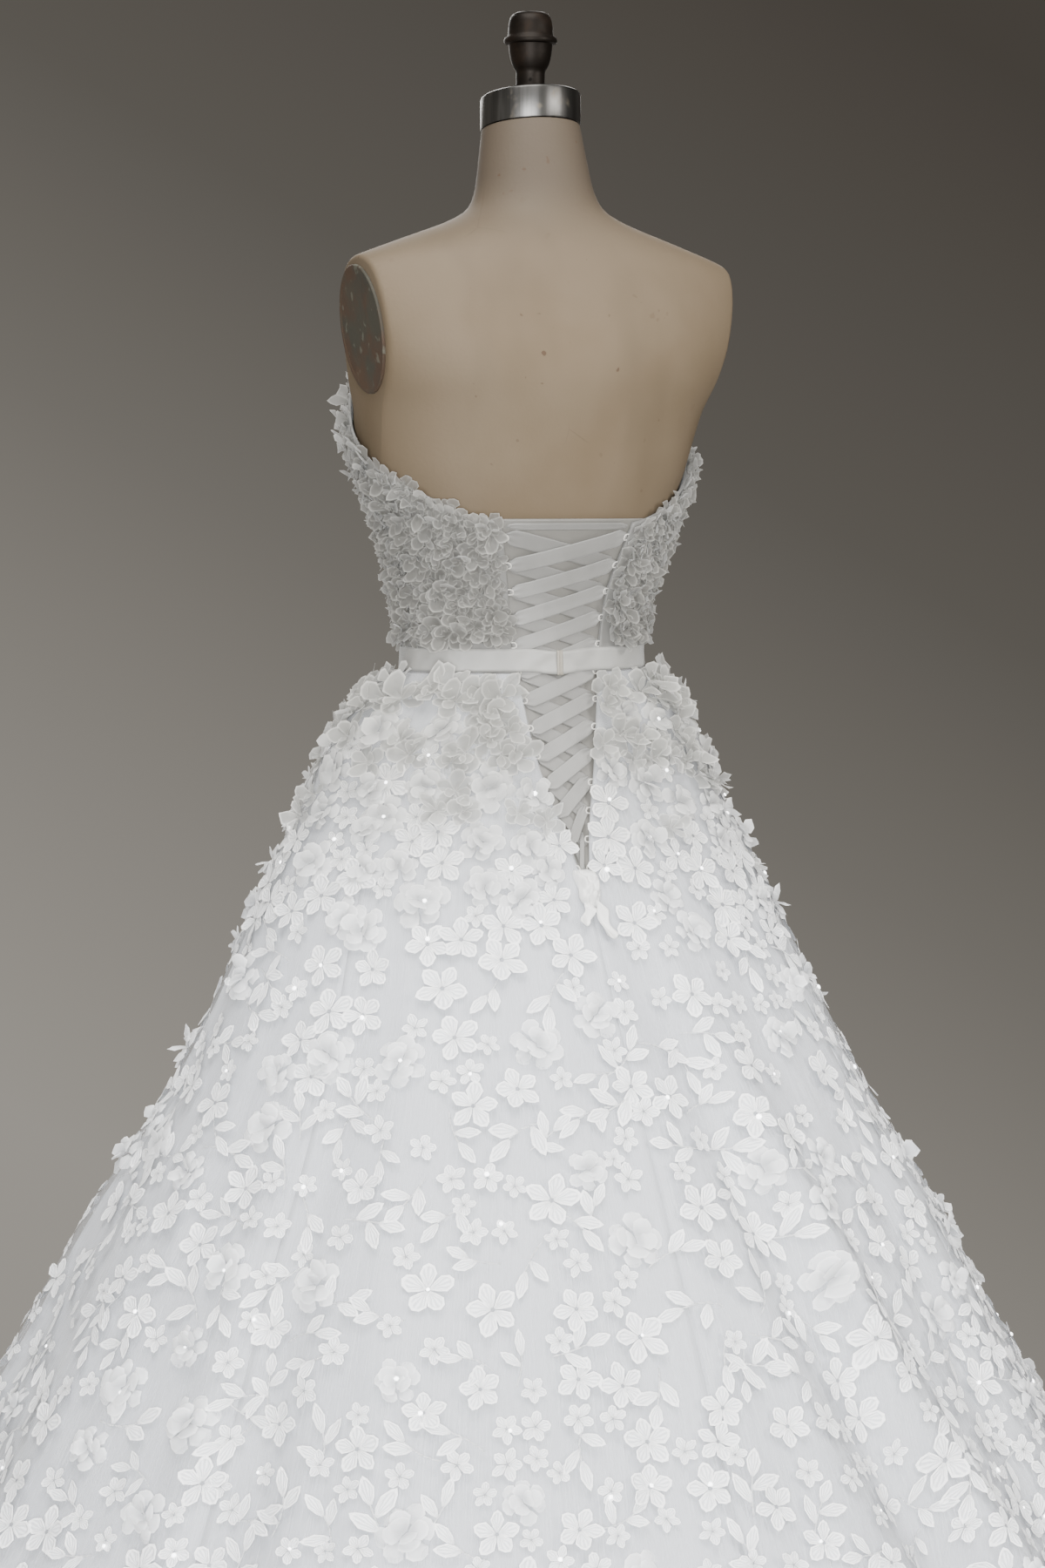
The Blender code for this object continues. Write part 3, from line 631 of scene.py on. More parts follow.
def skirt_satin_finish():
    """The satin under the tulle, with the tulle's fine lines running down over it."""
    made = Finish("skirt_satin", Sheen_Weight=0.3, Sheen_Roughness=0.5, Specular_IOR_Level=0.35)
    lines = made.noise(1.0, 2.0, (1500.0, 9.0, 1.0), "UV")
    cloud = made.noise(7.0, 3.0)
    colour = made.mixed(cloud.ramp(0.35, 0.7) * 0.5, (0.490, 0.503, 0.532), (0.440, 0.453, 0.483))
    colour = made.mixed(lines.ramp(0.45, 0.75) * 0.30, colour, (0.60, 0.617, 0.645))
    made.feeds(Base_Color=made.shaded_towards_waist(colour), Roughness=0.52 + cloud * 0.12)
    made.bumped(lines, 0.25, 0.0004)
    return made.material


def tulle_finish():
    """Sheer netting: mostly clear, with fine threads that run down."""
    made = Finish("sheer_tulle", Roughness=0.7, Specular_IOR_Level=0.3)
    lines = made.noise(1.0, 2.0, (1100.0, 14.0, 1.0), "UV")
    cloud = made.noise(14.0, 2.0)
    colour = made.mixed(lines, (0.64, 0.66, 0.70), (0.76, 0.78, 0.81))
    made.feeds(Base_Color=colour, Alpha=0.12 + lines.ramp(0.42, 0.72) * 0.20 + cloud * 0.08)
    return made.material


def petal_edge(made):
    """How near a petal's rim a point is, 1 at the rim, how far from its foot, and how far to its side."""
    side = made.across(0) * 2.0 - 1.0
    along = made.across(1)
    upward = along * 2.0 - 1.0
    return (side * side + upward * upward) ** 0.5, along, side


def organza_finish(name, middle, rim_colour, foot):
    """Petals of stiff sheer cloth, denser at the rim and at the foot."""
    made = Finish(name, Roughness=0.55, Sheen_Weight=0.35, Specular_IOR_Level=0.4)
    rim, along, _ = petal_edge(made)
    threads = made.noise(1.0, 2.0, (26.0, 5.0, 1.0), "UV")
    colour = made.mixed(rim.ramp(0.72, 0.95), middle, rim_colour)
    # Darker towards the foot: painted shade at the flower's heart, where the petals crowd.
    colour = made.mixed((1 - along).ramp(0.4, 1.0) * 0.4, colour, foot)
    dense = 0.66 + rim.ramp(0.70, 0.92) * 0.28 + (1 - along).ramp(0.6, 1.0) * 0.3
    made.feeds(Base_Color=made.shaded_towards_waist(colour), Alpha=dense.low(1.0))
    made.bumped(threads, 0.30, 0.0006)
    made.let_light_through(0.30, (0.84, 0.84, 0.82))
    return made.material


def puff_finish():
    """The rosettes' petals: several layers of organza, nearly solid."""
    made = Finish("puffed_organza", Roughness=0.60, Sheen_Weight=0.4, Specular_IOR_Level=0.3)
    rim, along, _ = petal_edge(made)
    threads = made.noise(1.0, 2.0, (20.0, 4.0, 1.0), "UV")
    colour = made.mixed(rim.ramp(0.70, 1.0), (0.92, 0.93, 0.94), (1.0, 1.0, 1.0))
    # Darker towards each petal's foot: painted shade between the crowded petals.
    colour = made.mixed((1 - along).ramp(0.35, 0.9) * 0.7, colour, (0.50, 0.51, 0.525))
    dense = 0.84 + rim.ramp(0.6, 0.9) * 0.15
    made.feeds(Base_Color=made.shaded_towards_waist(colour), Alpha=dense.low(1.0))
    made.bumped(threads, 0.25, 0.0006)
    made.let_light_through(0.22, (0.88, 0.88, 0.88))
    return made.material


def thread_finish():
    """Embroidery: satin stitches that fan out from each petal's foot, with a raised stitched rim."""
    made = Finish("white_embroidery", Sheen_Weight=0.3, Specular_IOR_Level=0.5)
    rim, along, side = petal_edge(made)
    stitches = (side / (along + 0.35) * 13.0 + made.noise(200.0, 1.0) * 2.0).sine() * 0.5 + 0.5
    rim = rim.ramp(0.62, 0.78)
    colour = made.mixed(rim, (0.96, 0.97, 0.98), (1.0, 1.0, 1.0))
    colour = made.mixed(stitches * 0.8 * (1 - rim), colour, (0.56, 0.573, 0.60))
    colour = made.mixed((1 - along).ramp(0.66, 0.98) * 0.45, colour, (0.58, 0.59, 0.61))
    made.feeds(Base_Color=made.shaded_towards_waist(colour), Roughness=0.42 + stitches * 0.2)
    made.bumped(stitches * 0.4 + rim, 0.7, 0.0012)
    return made.material


# The crystals glow with a painted glint: their emission shines though they are no lamp.
def glinting_crystal_finish():
    made = Finish("cut_crystals_painted_glint", Roughness=0.05, Coat_Weight=1.0, Coat_Roughness=0.02,
                  Emission_Strength=6.0, Emission_Color=(1.0, 1.0, 1.0, 1.0))
    made.feeds(Base_Color=made.mixed(made.noise(320.0, 1.0), (0.75, 0.78, 0.82), (0.98, 0.98, 0.98)))
    return made.material


def cord_finish():
    made = Finish("lacing_cord", Roughness=0.6, Sheen_Weight=0.2)
    twist = (made.noise(420.0, 1.0) * 6.0).sine()
    made.feeds(Base_Color=made.mixed(twist.ramp(-1.0, 1.0), (0.42, 0.40, 0.355), (0.54, 0.525, 0.485)))
    made.bumped(twist, 0.3, 0.0003)
    return made.material


def floor_finish():
    made = Finish("studio_floor", Roughness=0.8)
    made.feeds(Base_Color=made.mixed(made.noise(3.0), (0.58, 0.57, 0.55), (0.63, 0.62, 0.60)))
    return made.material


LINEN = form_linen_finish()
CHROME = chrome_finish()
IRON = iron_finish()
BRONZE = bronze_finish()
HOLE_SHADE = hole_shade_finish()
RIBBON_SATIN = satin_finish("ribbon_satin", (0.208, 0.204, 0.192), (0.148, 0.144, 0.134))
# The same ribbon satin, darker: painted shade on the ribbons that lie underneath.
SHADED_UNDER_SATIN = satin_finish("under_ribbon_painted_shade", (0.168, 0.164, 0.153), (0.130, 0.126, 0.117))
KNOT_SATIN = satin_finish("knot_satin", (0.78, 0.775, 0.75), (0.56, 0.553, 0.53))
BELT_SATIN = satin_finish("belt_satin", (0.285, 0.280, 0.262), (0.212, 0.206, 0.191), 0.34)
# Darkened satin for the panel behind the lacing: painted shade where it lies back under the ribbons.
SHADED_PANEL_SATIN = satin_finish("panel_satin_painted_shade", (0.146, 0.140, 0.126), (0.116, 0.110, 0.097))
# A darker beige satin for the fold where the belt's halves meet.
BEIGE_JOIN_SATIN = satin_finish("beige_join_satin", (0.250, 0.229, 0.190), (0.198, 0.178, 0.143))
BODICE_SATIN = satin_finish("bodice_satin", (0.150, 0.147, 0.137), (0.120, 0.117, 0.109), 0.6)
SKIRT_SATIN = skirt_satin_finish()
TULLE = tulle_finish()
ORGANZA = organza_finish("organza_petals", (0.660, 0.664, 0.655), (1.0, 1.0, 0.99), (0.36, 0.36, 0.348))
# The same organza as on the skirt, darker all through: painted shade, as less light falls on the bodice.
SHADED_BODICE_ORGANZA = organza_finish(
    "bodice_organza_painted_shade", (0.325, 0.322, 0.312), (0.600, 0.594, 0.580), (0.180, 0.178, 0.169)
)
PUFF = puff_finish()
THREAD = thread_finish()
GLINTING_CRYSTAL = glinting_crystal_finish()
CORD = cord_finish()


# ---- Making pieces ----

# How far a cloth's UV map runs for a turn of one radian, and for a rise of one metre.
UV_SCALE = (0.30, 1.2)


def mesh_points(mesh):
    found = np.empty(len(mesh.vertices) * 3, np.float32)
    mesh.vertices.foreach_get("co", found)
    return found.reshape(-1, 3).astype(float)


def set_points(mesh, points):
    mesh.vertices.foreach_set("co", points.astype(np.float32).ravel())
    mesh.update()


def link(name, data):
    """A new object in the scene."""
    made = bpy.data.objects.new(name, data)
    bpy.context.scene.collection.objects.link(made)
    return made


def add_piece(name, mesh, finish, replaces=(), sharp=40):
    """A piece of the model, which rides on the one body there is."""
    mesh.materials.append(finish)
    mesh.shade_smooth()
    mesh.set_sharp_from_angle(angle=math.radians(sharp))
    piece = link(name, mesh)
    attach(piece, "root")
    if replaces:
        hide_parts(*replaces)
    return piece


def new_bed():
    """An empty bmesh with a UV map."""
    bed = bmesh.new()
    bed.loops.layers.uv.new("cloth")
    return bed


def to_mesh(bed, name):
    """A bmesh's mesh. The bmesh is gone after it."""
    mesh = bpy.data.meshes.new(name)
    bed.to_mesh(mesh)
    bed.free()
    return mesh


def grid_mesh(name, columns, rows):
    """A flat grid, 1 by 1, with a UV map, and its points' u and v."""
    sheet = new_bed()
    bmesh.ops.create_grid(sheet, x_segments=columns, y_segments=rows, size=0.5, calc_uvs=True)
    mesh = to_mesh(sheet, name)
    flat = mesh_points(mesh)
    return mesh, flat[:, 0] + 0.5, flat[:, 1] + 0.5


def cloth_piece(name, grid, place, out, thickness, finish, replaces=(), sharp=40, flipped=True):
    """A sheet on the gown over the patch that place(u, v) gives, with a UV map and its thickness inwards.

    out is a distance, or a function of angle, height, u and v. A grid whose angle grows with u faces inwards
    at first, so it is flipped.
    """
    mesh, u, v = grid_mesh(name, *grid)
    angle, height = place(u, v)
    set_points(mesh, gown(angle, height, out(angle, height, u, v) if callable(out) else out))
    flat = np.stack([angle * UV_SCALE[0], height * UV_SCALE[1]], axis=1)
    corners = np.empty(len(mesh.loops), np.int32)
    mesh.loops.foreach_get("vertex_index", corners)
    mesh.uv_layers["cloth"].uv.foreach_set("vector", flat[corners].astype(np.float32).ravel())
    if flipped:
        mesh.flip_normals()
    piece = add_piece(name, mesh, finish, replaces, sharp)
    if thickness:
        wall = piece.modifiers.new("thickness", "SOLIDIFY")
        wall.thickness = thickness
        wall.offset = -1.0
        wall.use_even_offset = False
    return piece


def sheet_area(piece):
    return sum(polygon.area for polygon in piece.data.polygons)


def spun(name, profile, foot, finish, node, lean=0.0, steps=72):
    """A turned piece from its profile of radius and height above its foot, closed at both ends."""
    shape = bmesh.new()
    closed = ((0.0, profile[0][1]), *profile, (0.0, profile[-1][1]))
    outline = [shape.verts.new((r, 0.0, foot + z)) for r, z in closed]
    edges = [shape.edges.new(pair) for pair in zip(outline, outline[1:])]
    bmesh.ops.spin(
        shape, geom=outline + edges, cent=(0, 0, 0), axis=(0, 0, 1), angle=2 * math.pi, steps=steps,
        use_merge=True,
    )
    bmesh.ops.remove_doubles(shape, verts=shape.verts, dist=1e-6)
    bmesh.ops.recalc_face_normals(shape, faces=shape.faces)
    for vert in shape.verts:
        vert.co.z += lean * vert.co.y
        vert.co.y += AXIS_Y
    add_piece(name, to_mesh(shape, name), finish, (node,), 35)


# ---- The dress form ----

# How deep under the armhole's plane the torso is cut for its rounded rim, as shares of the rim's radius.
RIM_CUTS = (1.0, 0.6, 0.3, 0.1, 0.0)

# The armhole plate from its foot to its middle: how far in each step goes, and how far up.
PLATE_STEPS = ((0.0, 0.0018), (0.012, 0.0007), (0.05, 0.0), (0.02, -0.0005), (0.5, 0.0002))

# The turned pieces' profiles: radius, and height above the foot.
COLLAR = (
    (0.0446, 0.0), (0.0463, 0.0008), (COLLAR_RADIUS, 0.0020), (COLLAR_RADIUS, 0.0275), (0.0460, 0.0290),
    (0.0445, COLLAR_HEIGHT),
)
FINIAL = (
    (0.0206, 0.0002), (0.0212, 0.0012), (0.0212, 0.0056), (0.0204, 0.0064), (0.0146, 0.0072),
    (0.0138, 0.0090), (0.0134, 0.0115), (0.0134, 0.0200), (0.0138, 0.0226), (0.0152, 0.0246),
    (0.0172, 0.0286), (0.0188, 0.0340), (0.0198, 0.0400), (0.0202, 0.0452), (0.0206, 0.0466),
    (0.0238, 0.0474), (0.0246, 0.0486), (0.0247, 0.0506), (0.0240, 0.0524), (0.0218, 0.0540),
    (0.0210, 0.0560), (0.0206, 0.0620), (0.0200, 0.0670), (0.0188, 0.0710), (0.0166, 0.0740),
    (0.0130, 0.0757), (0.0080, 0.0764),
)
STAND_BASE = (
    (0.184, 0.0), (0.188, 0.001), (0.190, 0.004), (0.1895, 0.0075), (0.187, 0.0102), (0.170, 0.0130),
    (0.150, 0.0160), (0.110, 0.0190), (0.070, 0.0220), (0.046, 0.0250), (0.032, 0.0280), (0.026, 0.0315),
    (0.024, BASE_TOP_Z),
)

# The set screw's hole in the finial's stem, drawn as a near-black disc of painted shade: its radius, its
# height above the finial's foot, and how far from the axis it lies.
HOLE_RADIUS = 0.0016
HOLE_UP = 0.0135
HOLE_OFF_AXIS = 0.0128


def arm_plane(side):
    """The armhole's plane: its +Z looks out of the form."""
    lean = Matrix.Rotation(side * (math.pi / 2 + ARM_PLANE_LEAN), 4, "Y")
    return Matrix.Translation((side * ARM_PLANE_X, AXIS_Y + ARM_PLATE_Y, ARM_PLANE_Z)) @ lean


def make_torso():
    """The form's shell: a grid wrapped round and closed, with each armhole cut flat and its rim rounded."""
    mesh, u, v = grid_mesh("torso_shell", 168, 150)
    set_points(mesh, form_point(2 * np.pi * u, between(FORM_SECTIONS[0][0], NECK_TOP_Z, v)))
    shell = bmesh.new()
    shell.from_mesh(mesh)
    bmesh.ops.remove_doubles(shell, verts=shell.verts, dist=1e-5)
    rims = [edge for edge in shell.edges if edge.is_boundary]
    bmesh.ops.holes_fill(shell, edges=rims, sides=0)
    for side in (1, -1):
        plane = arm_plane(side)
        outwards = plane.col[2].to_3d()
        for depth in RIM_CUTS:
            cut = bmesh.ops.bisect_plane(
                shell,
                geom=shell.verts[:] + shell.edges[:] + shell.faces[:],
                dist=1e-5,
                plane_co=plane.translation - ARM_RIM * depth * outwards,
                plane_no=outwards,
                clear_outer=depth == 0.0,
            )
        rim = [edge for edge in cut["geom_cut"] if isinstance(edge, bmesh.types.BMEdge)]
        to_plane = plane.inverted()
        for vert in shell.verts:
            spot = to_plane @ vert.co
            depth = min(max(-spot.z / ARM_RIM, 0.0), 1.0)
            if depth < 1.0:
                rounded = ARM_RIM * (1 - math.sqrt(1 - (1 - depth) ** 2))
                inwards = Vector((spot.x, spot.y, 0.0)).normalized() * rounded
                vert.co = plane @ (spot - inwards)
        bmesh.ops.holes_fill(shell, edges=rim, sides=0)
    bmesh.ops.recalc_face_normals(shell, faces=shell.faces)
    shell.to_mesh(mesh)
    shell.free()
    add_piece("torso_shell", mesh, LINEN, ("form_torso",), 50)


def make_arm_plate(side, word):
    """A plate with a low rim and a shallow dish, set in the armhole."""
    plate = bmesh.new()
    place = arm_plane(side) @ Matrix.Diagonal((ARM_PLATE_HALF[1], ARM_PLATE_HALF[0], 1.0, 1.0))
    bmesh.ops.create_circle(plate, cap_ends=True, segments=64, radius=1.0)
    top = plate.faces[:]
    for inset, rise in PLATE_STEPS:
        if inset:
            bmesh.ops.inset_region(plate, faces=top, thickness=inset, depth=0.0)
        else:
            raised = bmesh.ops.extrude_face_region(plate, geom=top)
            top = [item for item in raised["geom"] if isinstance(item, bmesh.types.BMFace)]
        for vert in {vert for face in top for vert in face.verts}:
            vert.co.z += rise
    bmesh.ops.recalc_face_normals(plate, faces=plate.faces)
    lift = Matrix.Translation((0, 0, LAYER_GAP))
    bmesh.ops.transform(plate, matrix=place @ lift, verts=plate.verts)
    name = "armhole_plate_" + word
    add_piece(name, to_mesh(plate, name), BRONZE, ("arm_plate_" + word,), 25)


def make_stand():
    """The collar and the finial on the neck, and the pole and its base below."""
    neck = NECK_TOP_Z + LAYER_GAP
    foot = neck + COLLAR_HEIGHT + LAYER_GAP
    spun("neck_cap", COLLAR, neck, CHROME, "neck_collar", NECK_TILT, 96)
    spun("turned_finial", FINIAL, foot, IRON, "finial")

    # The hole is a near-black disc on the stem's face: painted shade, not a cut.
    hole = bmesh.new()
    bmesh.ops.create_cone(
        hole, cap_ends=True, segments=20, radius1=HOLE_RADIUS, radius2=HOLE_RADIUS, depth=HOLE_RADIUS
    )
    facing = Matrix.Rotation(CAMERA_AZIMUTH - math.pi, 4, "Z") @ Matrix.Rotation(math.pi / 2, 4, "X")
    on_stem = facing @ Matrix.Translation((0, 0, -HOLE_OFF_AXIS))
    bmesh.ops.transform(
        hole, matrix=Matrix.Translation((0, AXIS_Y, foot + HOLE_UP)) @ on_stem, verts=hole.verts
    )
    add_piece("finial_hole_shade", to_mesh(hole, "finial_hole_shade"), HOLE_SHADE)

    low, high = BASE_TOP_Z + LAYER_GAP, FORM_SECTIONS[0][0] - LAYER_GAP
    flange = ((0.020, high - 0.010), (0.034, high - 0.006), (0.034, high))
    pole = ((POLE_RADIUS, low), (POLE_RADIUS, high - 0.014), *flange)
    spun("stand_pole", pole, 0.0, IRON, "pole", 0.0, 40)
    spun("iron_base", STAND_BASE, 0.0, IRON, "stand_base", 0.0, 96)


# ---- Flowers: each kind is a small mesh whose x runs round the gown, y up it and z out of it ----


def petal_disc(sides, ring):
    """A petal laid flat: a disc of radius 1 whose foot is at y = -1, with a ring of points inside its rim."""
    disc = new_bed()
    layer = disc.loops.layers.uv["cloth"]
    bmesh.ops.create_circle(disc, cap_ends=True, segments=sides, radius=1.0)
    if ring:
        bmesh.ops.inset_region(disc, faces=disc.faces[:], thickness=1.0 - ring)
    bmesh.ops.poke(disc, faces=[face for face in disc.faces if len(face.verts) == sides])
    for face in disc.faces:
        for corner in face.loops:
            corner[layer].uv = (corner.vert.co.x / 2 + 0.5, corner.vert.co.y / 2 + 0.5)
    mesh = to_mesh(disc, "petal_disc")
    return mesh, mesh_points(mesh)


FULL_PETAL = petal_disc(9, 0.6)
PLAIN_PETAL = petal_disc(8, 0)


class Flower:
    """A flower that is being built from petals, about its heart at the origin."""

    def __init__(self):
        self.bed = new_bed()
        self.points = []

    def petal(self, disc, length, width, turn, lift=0.0, curl=0.0, cup=0.0, dome=0.0, ruffle=0.0, foot=0.0,
              narrow=0.45, point=0.0, twist=0.0, at=(0.0, 0.0)):
        """Adds a petal that starts this far, its foot, from a place.

        Lift is the rise of the tip, and curl bends it further. Cup raises the sides, dome the middle, and
        twist one side. Narrow is its width at the foot, and point how sharp its tip is.
        """
        mesh, flat = disc
        self.bed.from_mesh(mesh)
        x, y = flat[:, 0], flat[:, 1]
        along = (y + 1) / 2
        full = (narrow + (1 - narrow) * ease(along / 0.6)) * (1 - point * ease((along - 0.45) / 0.55))
        out = x**2 + y**2
        side = 0.5 * width * x * full
        reach = foot + length * along * (1 + 0.25 * point * (1 - x**2))
        rise = lift * along + curl * along**2 + cup * x**2 + dome * (1 - out) + twist * x * along
        rise += ruffle * out * np.sin(4 * np.arctan2(x, y) + 7 * turn)
        cos, sin = math.cos(turn), math.sin(turn)
        spot = (side * cos - reach * sin + at[0], side * sin + reach * cos + at[1], rise)
        self.points.append(np.stack(spot, axis=1))

    def finish(self, name):
        mesh = to_mesh(self.bed, name)
        points = np.concatenate(self.points)
        set_points(mesh, points)
        return mesh, points


def flower_kind(name, build, draws, count, *disc):
    """Several sorts of one flower, each a mesh of its own."""
    kinds = []
    for number in range(count):
        flower = Flower()
        build(flower, draws, *disc)
        kinds.append(flower.finish(f"{name}_{number}"))
    return kinds


def ruffled_flower(flower, draws):
    """A loose organza flower of radius 1, whose petals stand up at different slants."""
    count = draws.choice((4, 5, 5))
    stand = draws.choice((0.7, 1.0, 1.0, 1.5))
    first = draws.uniform(0, math.pi)
    for i in range(count):
        turn = first + 2 * math.pi * i / count + draws.uniform(-0.35, 0.35)
        flower.petal(FULL_PETAL, draws.uniform(0.80, 1.12), draws.uniform(0.62, 0.98), turn,
                     lift=stand * draws.choice((0.08, 0.22, 0.45, 0.80)), curl=draws.uniform(-0.30, 0.20),
                     cup=draws.uniform(-0.12, 0.30), ruffle=draws.uniform(0.03, 0.15), narrow=0.35,
                     point=draws.choice((0.0, 0.0, 0.22)), twist=draws.uniform(-0.32, 0.32))
    for i in range(2):
        flower.petal(FULL_PETAL, draws.uniform(0.5, 0.75), draws.uniform(0.55, 0.8), first + 0.6 + 2.6 * i,
                     lift=draws.uniform(0.45, 0.8), curl=draws.uniform(-0.3, -0.05),
                     cup=draws.uniform(0.0, 0.3), twist=draws.uniform(-0.3, 0.3))


def rosette(flower, draws):
    """A puffed flower of radius 1: small full petals, crowded in two uneven rings and a heart."""
    first = draws.uniform(0, math.pi)
    for count, foot, length, lift in ((6, 0.30, 0.66, 0.08), (4, 0.08, 0.62, 0.34), (2, 0.0, 0.42, 0.55)):
        first += 0.5
        for i in range(count):
            turn = first + 2 * math.pi * i / count + draws.uniform(-0.25, 0.25)
            flower.petal(FULL_PETAL, length * draws.uniform(0.85, 1.10), draws.uniform(0.60, 0.78), turn,
                         lift=lift * draws.uniform(0.5, 1.4), curl=draws.uniform(-0.22, 0.0),
                         dome=draws.uniform(0.08, 0.20), ruffle=draws.uniform(0.01, 0.05), foot=foot,
                         narrow=0.6, twist=draws.uniform(-0.15, 0.15))


def stitched_flower(flower, draws, disc):
    """A flat embroidered flower of radius 1: now and then a petal stands up."""
    first = draws.uniform(0, math.pi)
    point = draws.choice((0.0, 0.08, 0.16))
    for i in range(5):
        lift = draws.choice((0.02, 0.03, 0.06, 0.20))
        turn = first + 2 * math.pi * i / 5 + draws.uniform(-0.08, 0.08)
        flower.petal(disc, draws.uniform(0.80, 0.96), draws.uniform(0.62, 0.74), turn, lift=lift, dome=0.03,
                     foot=0.05, narrow=0.42, point=point, twist=draws.uniform(-0.06, 0.06))


def leaf_sprig(flower, draws):
    """One to three pointed leaves on a thin curved stem."""
    bend = draws.uniform(-0.4, 0.4)
    for y in (-1.1, -0.88, -0.66, -0.44, -0.22):
        turn = -math.atan(2 * bend * y)
        flower.petal(PLAIN_PETAL, 0.26, 0.055, turn, lift=0.02, narrow=1.0, at=(bend * y * y, y))
    side = draws.choice((-1, 1))
    for number in range(draws.choice((1, 2, 3, 3))):
        y = (0.0, -0.34, -0.72)[number]
        slant = side * draws.uniform(0.75, 1.05) if number else draws.uniform(-0.2, 0.2)
        flower.petal(FULL_PETAL, draws.uniform(0.76, 0.92), draws.uniform(0.40, 0.48), slant, lift=0.06,
                     dome=0.04, narrow=0.60, point=0.30, twist=draws.uniform(-0.08, 0.08),
                     at=(bend * y * y, y))
        side = -side


def gem_kind():
    """A faceted crystal, flat underneath."""
    bed = new_bed()
    made = bmesh.ops.create_icosphere(bed, subdivisions=1, radius=1.0, calc_uvs=True)
    bmesh.ops.scale(bed, vec=(1.0, 1.0, 0.55), verts=made["verts"])
    mesh = to_mesh(bed, "gem")
    return [(mesh, mesh_points(mesh))]


TEMPLATE_DRAWS = random.Random(7)
RUFFLED = flower_kind("ruffled", ruffled_flower, TEMPLATE_DRAWS, 9)
ROSETTES = flower_kind("rosette", rosette, TEMPLATE_DRAWS, 6)
LARGE_STITCHED = flower_kind("large_stitched", stitched_flower, TEMPLATE_DRAWS, 5, FULL_PETAL)
SMALL_STITCHED = flower_kind("small_stitched", stitched_flower, TEMPLATE_DRAWS, 4, PLAIN_PETAL)
SPRIGS = flower_kind("sprig", leaf_sprig, TEMPLATE_DRAWS, 6)
CRYSTALS = gem_kind()


def strewn(name, kinds, spots, finish, out, draws):
    """Many small flowers as one piece, each turned at random and bent to the gown where it lies.

    A spot is an angle, a height and a size, and out says how far off the gown the flowers lie at their spot.
    Returns nothing where there are no spots.
    """
    if not spots:
        return None
    bed = new_bed()
    angles, heights, sizes = np.array(spots, float).T
    around, upward = metres_per_turn(angles, heights)
    placed = []
    for i in range(len(spots)):
        mesh, local = kinds[draws.randrange(len(kinds))]
        bed.from_mesh(mesh)
        turn = draws.uniform(0, 2 * math.pi)
        x = sizes[i] * (local[:, 0] * math.cos(turn) - local[:, 1] * math.sin(turn))
        y = sizes[i] * (local[:, 0] * math.sin(turn) + local[:, 1] * math.cos(turn))
        spread = np.stack([angles[i] - x / around[i], heights[i] + y / upward[i]], axis=1)
        rise = out(*spread.T) + sizes[i] * local[:, 2]
        placed.append(np.column_stack([spread, rise]))
    mesh = to_mesh(bed, name)
    angle, height, rise = np.concatenate(placed).T
    set_points(mesh, gown(angle, height, rise))
    return add_piece(name, mesh, finish, (), 60)


MOST_PLACES = 6000
FAR_AWAY = 99.0


class Bed:
    """What is taken on the gown so far: places, and how much room each needs."""

    def __init__(self):
        self.places = np.full((MOST_PLACES, 3), FAR_AWAY)
        self.rooms = np.zeros(MOST_PLACES)
        self.count = 0

    def take(self, point, room):
        self.places[self.count] = point
        self.rooms[self.count] = room
        self.count += 1

    def sow(self, points, room, wanted):
        """Goes through the places in turn, and keeps each that has room enough to all kept before it."""
        kept = []
        for i in range(len(points)):
            if len(kept) == wanted:
                break
            off = self.places[:self.count] - points[i]
            if (np.einsum("ij,ij->i", off, off) > (self.rooms[:self.count] + room[i]) ** 2).all():
                self.take(points[i], room[i])
                kept.append(i)
        return kept


# ---- The raised flowers that the solids have, drawn in the same order ----

SAMPLES_PER_RUN = 6
DRAWS_PER_TRY = 4


def rim_samples(place, columns, rows):
    """Points of the gown along the straight runs of a patch's rim."""
    rim = [(i / columns, 0.0) for i in range(columns)] + [(1.0, i / rows) for i in range(rows)]
    rim += [(1 - i / columns, 1.0) for i in range(columns)] + [(0.0, 1 - i / rows) for i in range(rows)]
    angle, height = place(*np.array(rim).T)
    corners = np.stack([angle, height], axis=1)
    runs = np.roll(corners, -1, axis=0) - corners
    spots = np.concatenate([corners + runs * i / SAMPLES_PER_RUN for i in range(SAMPLES_PER_RUN)])
    return gown(spots[:, 0], spots[:, 1])


def solid_flowers(place, columns, rows, wanted, sizes, draws, lowest=0.0, highest=9.0, room=0.0):
    """The raised flowers of a solid panel, each as angle, height and radius.

    A try's fourth draw is the flower's turn, which isn't needed here.
    """
    edge = rim_samples(place, columns, rows)
    before = draws.getstate()
    count = wanted * TRIES_PER_FLOWER
    tries = np.array([draws.random() for _ in range(DRAWS_PER_TRY * count)]).reshape(count, DRAWS_PER_TRY)
    draws.setstate(before)
    angle, height = place(tries[:, 0], tries[:, 1])
    radius = between(sizes[0], sizes[1], tries[:, 2])
    points = gown(angle, height)
    fits = (height >= lowest) & (height <= highest)
    fits &= (height <= KNOT_ROOM_Z) | (np.abs(points[:, 0]) >= room)
    to_edge = np.min([np.linalg.norm(points - spot, axis=1) for spot in edge], axis=0)
    fits &= to_edge >= radius + FLOWER_MARGIN
    found, last = [], len(tries)
    for i in range(len(tries)):
        if len(found) == wanted:
            last = i
            break
        clear = (np.linalg.norm(points[i] - points[k]) >= radius[i] + radius[k] + FLOWER_GAP for k in found)
        if fits[i] and all(clear):
            found.append(i)
    for _ in range(DRAWS_PER_TRY * last):
        draws.random()
    return [(angle[i], height[i], radius[i]) for i in found]


# ---- The gown ----

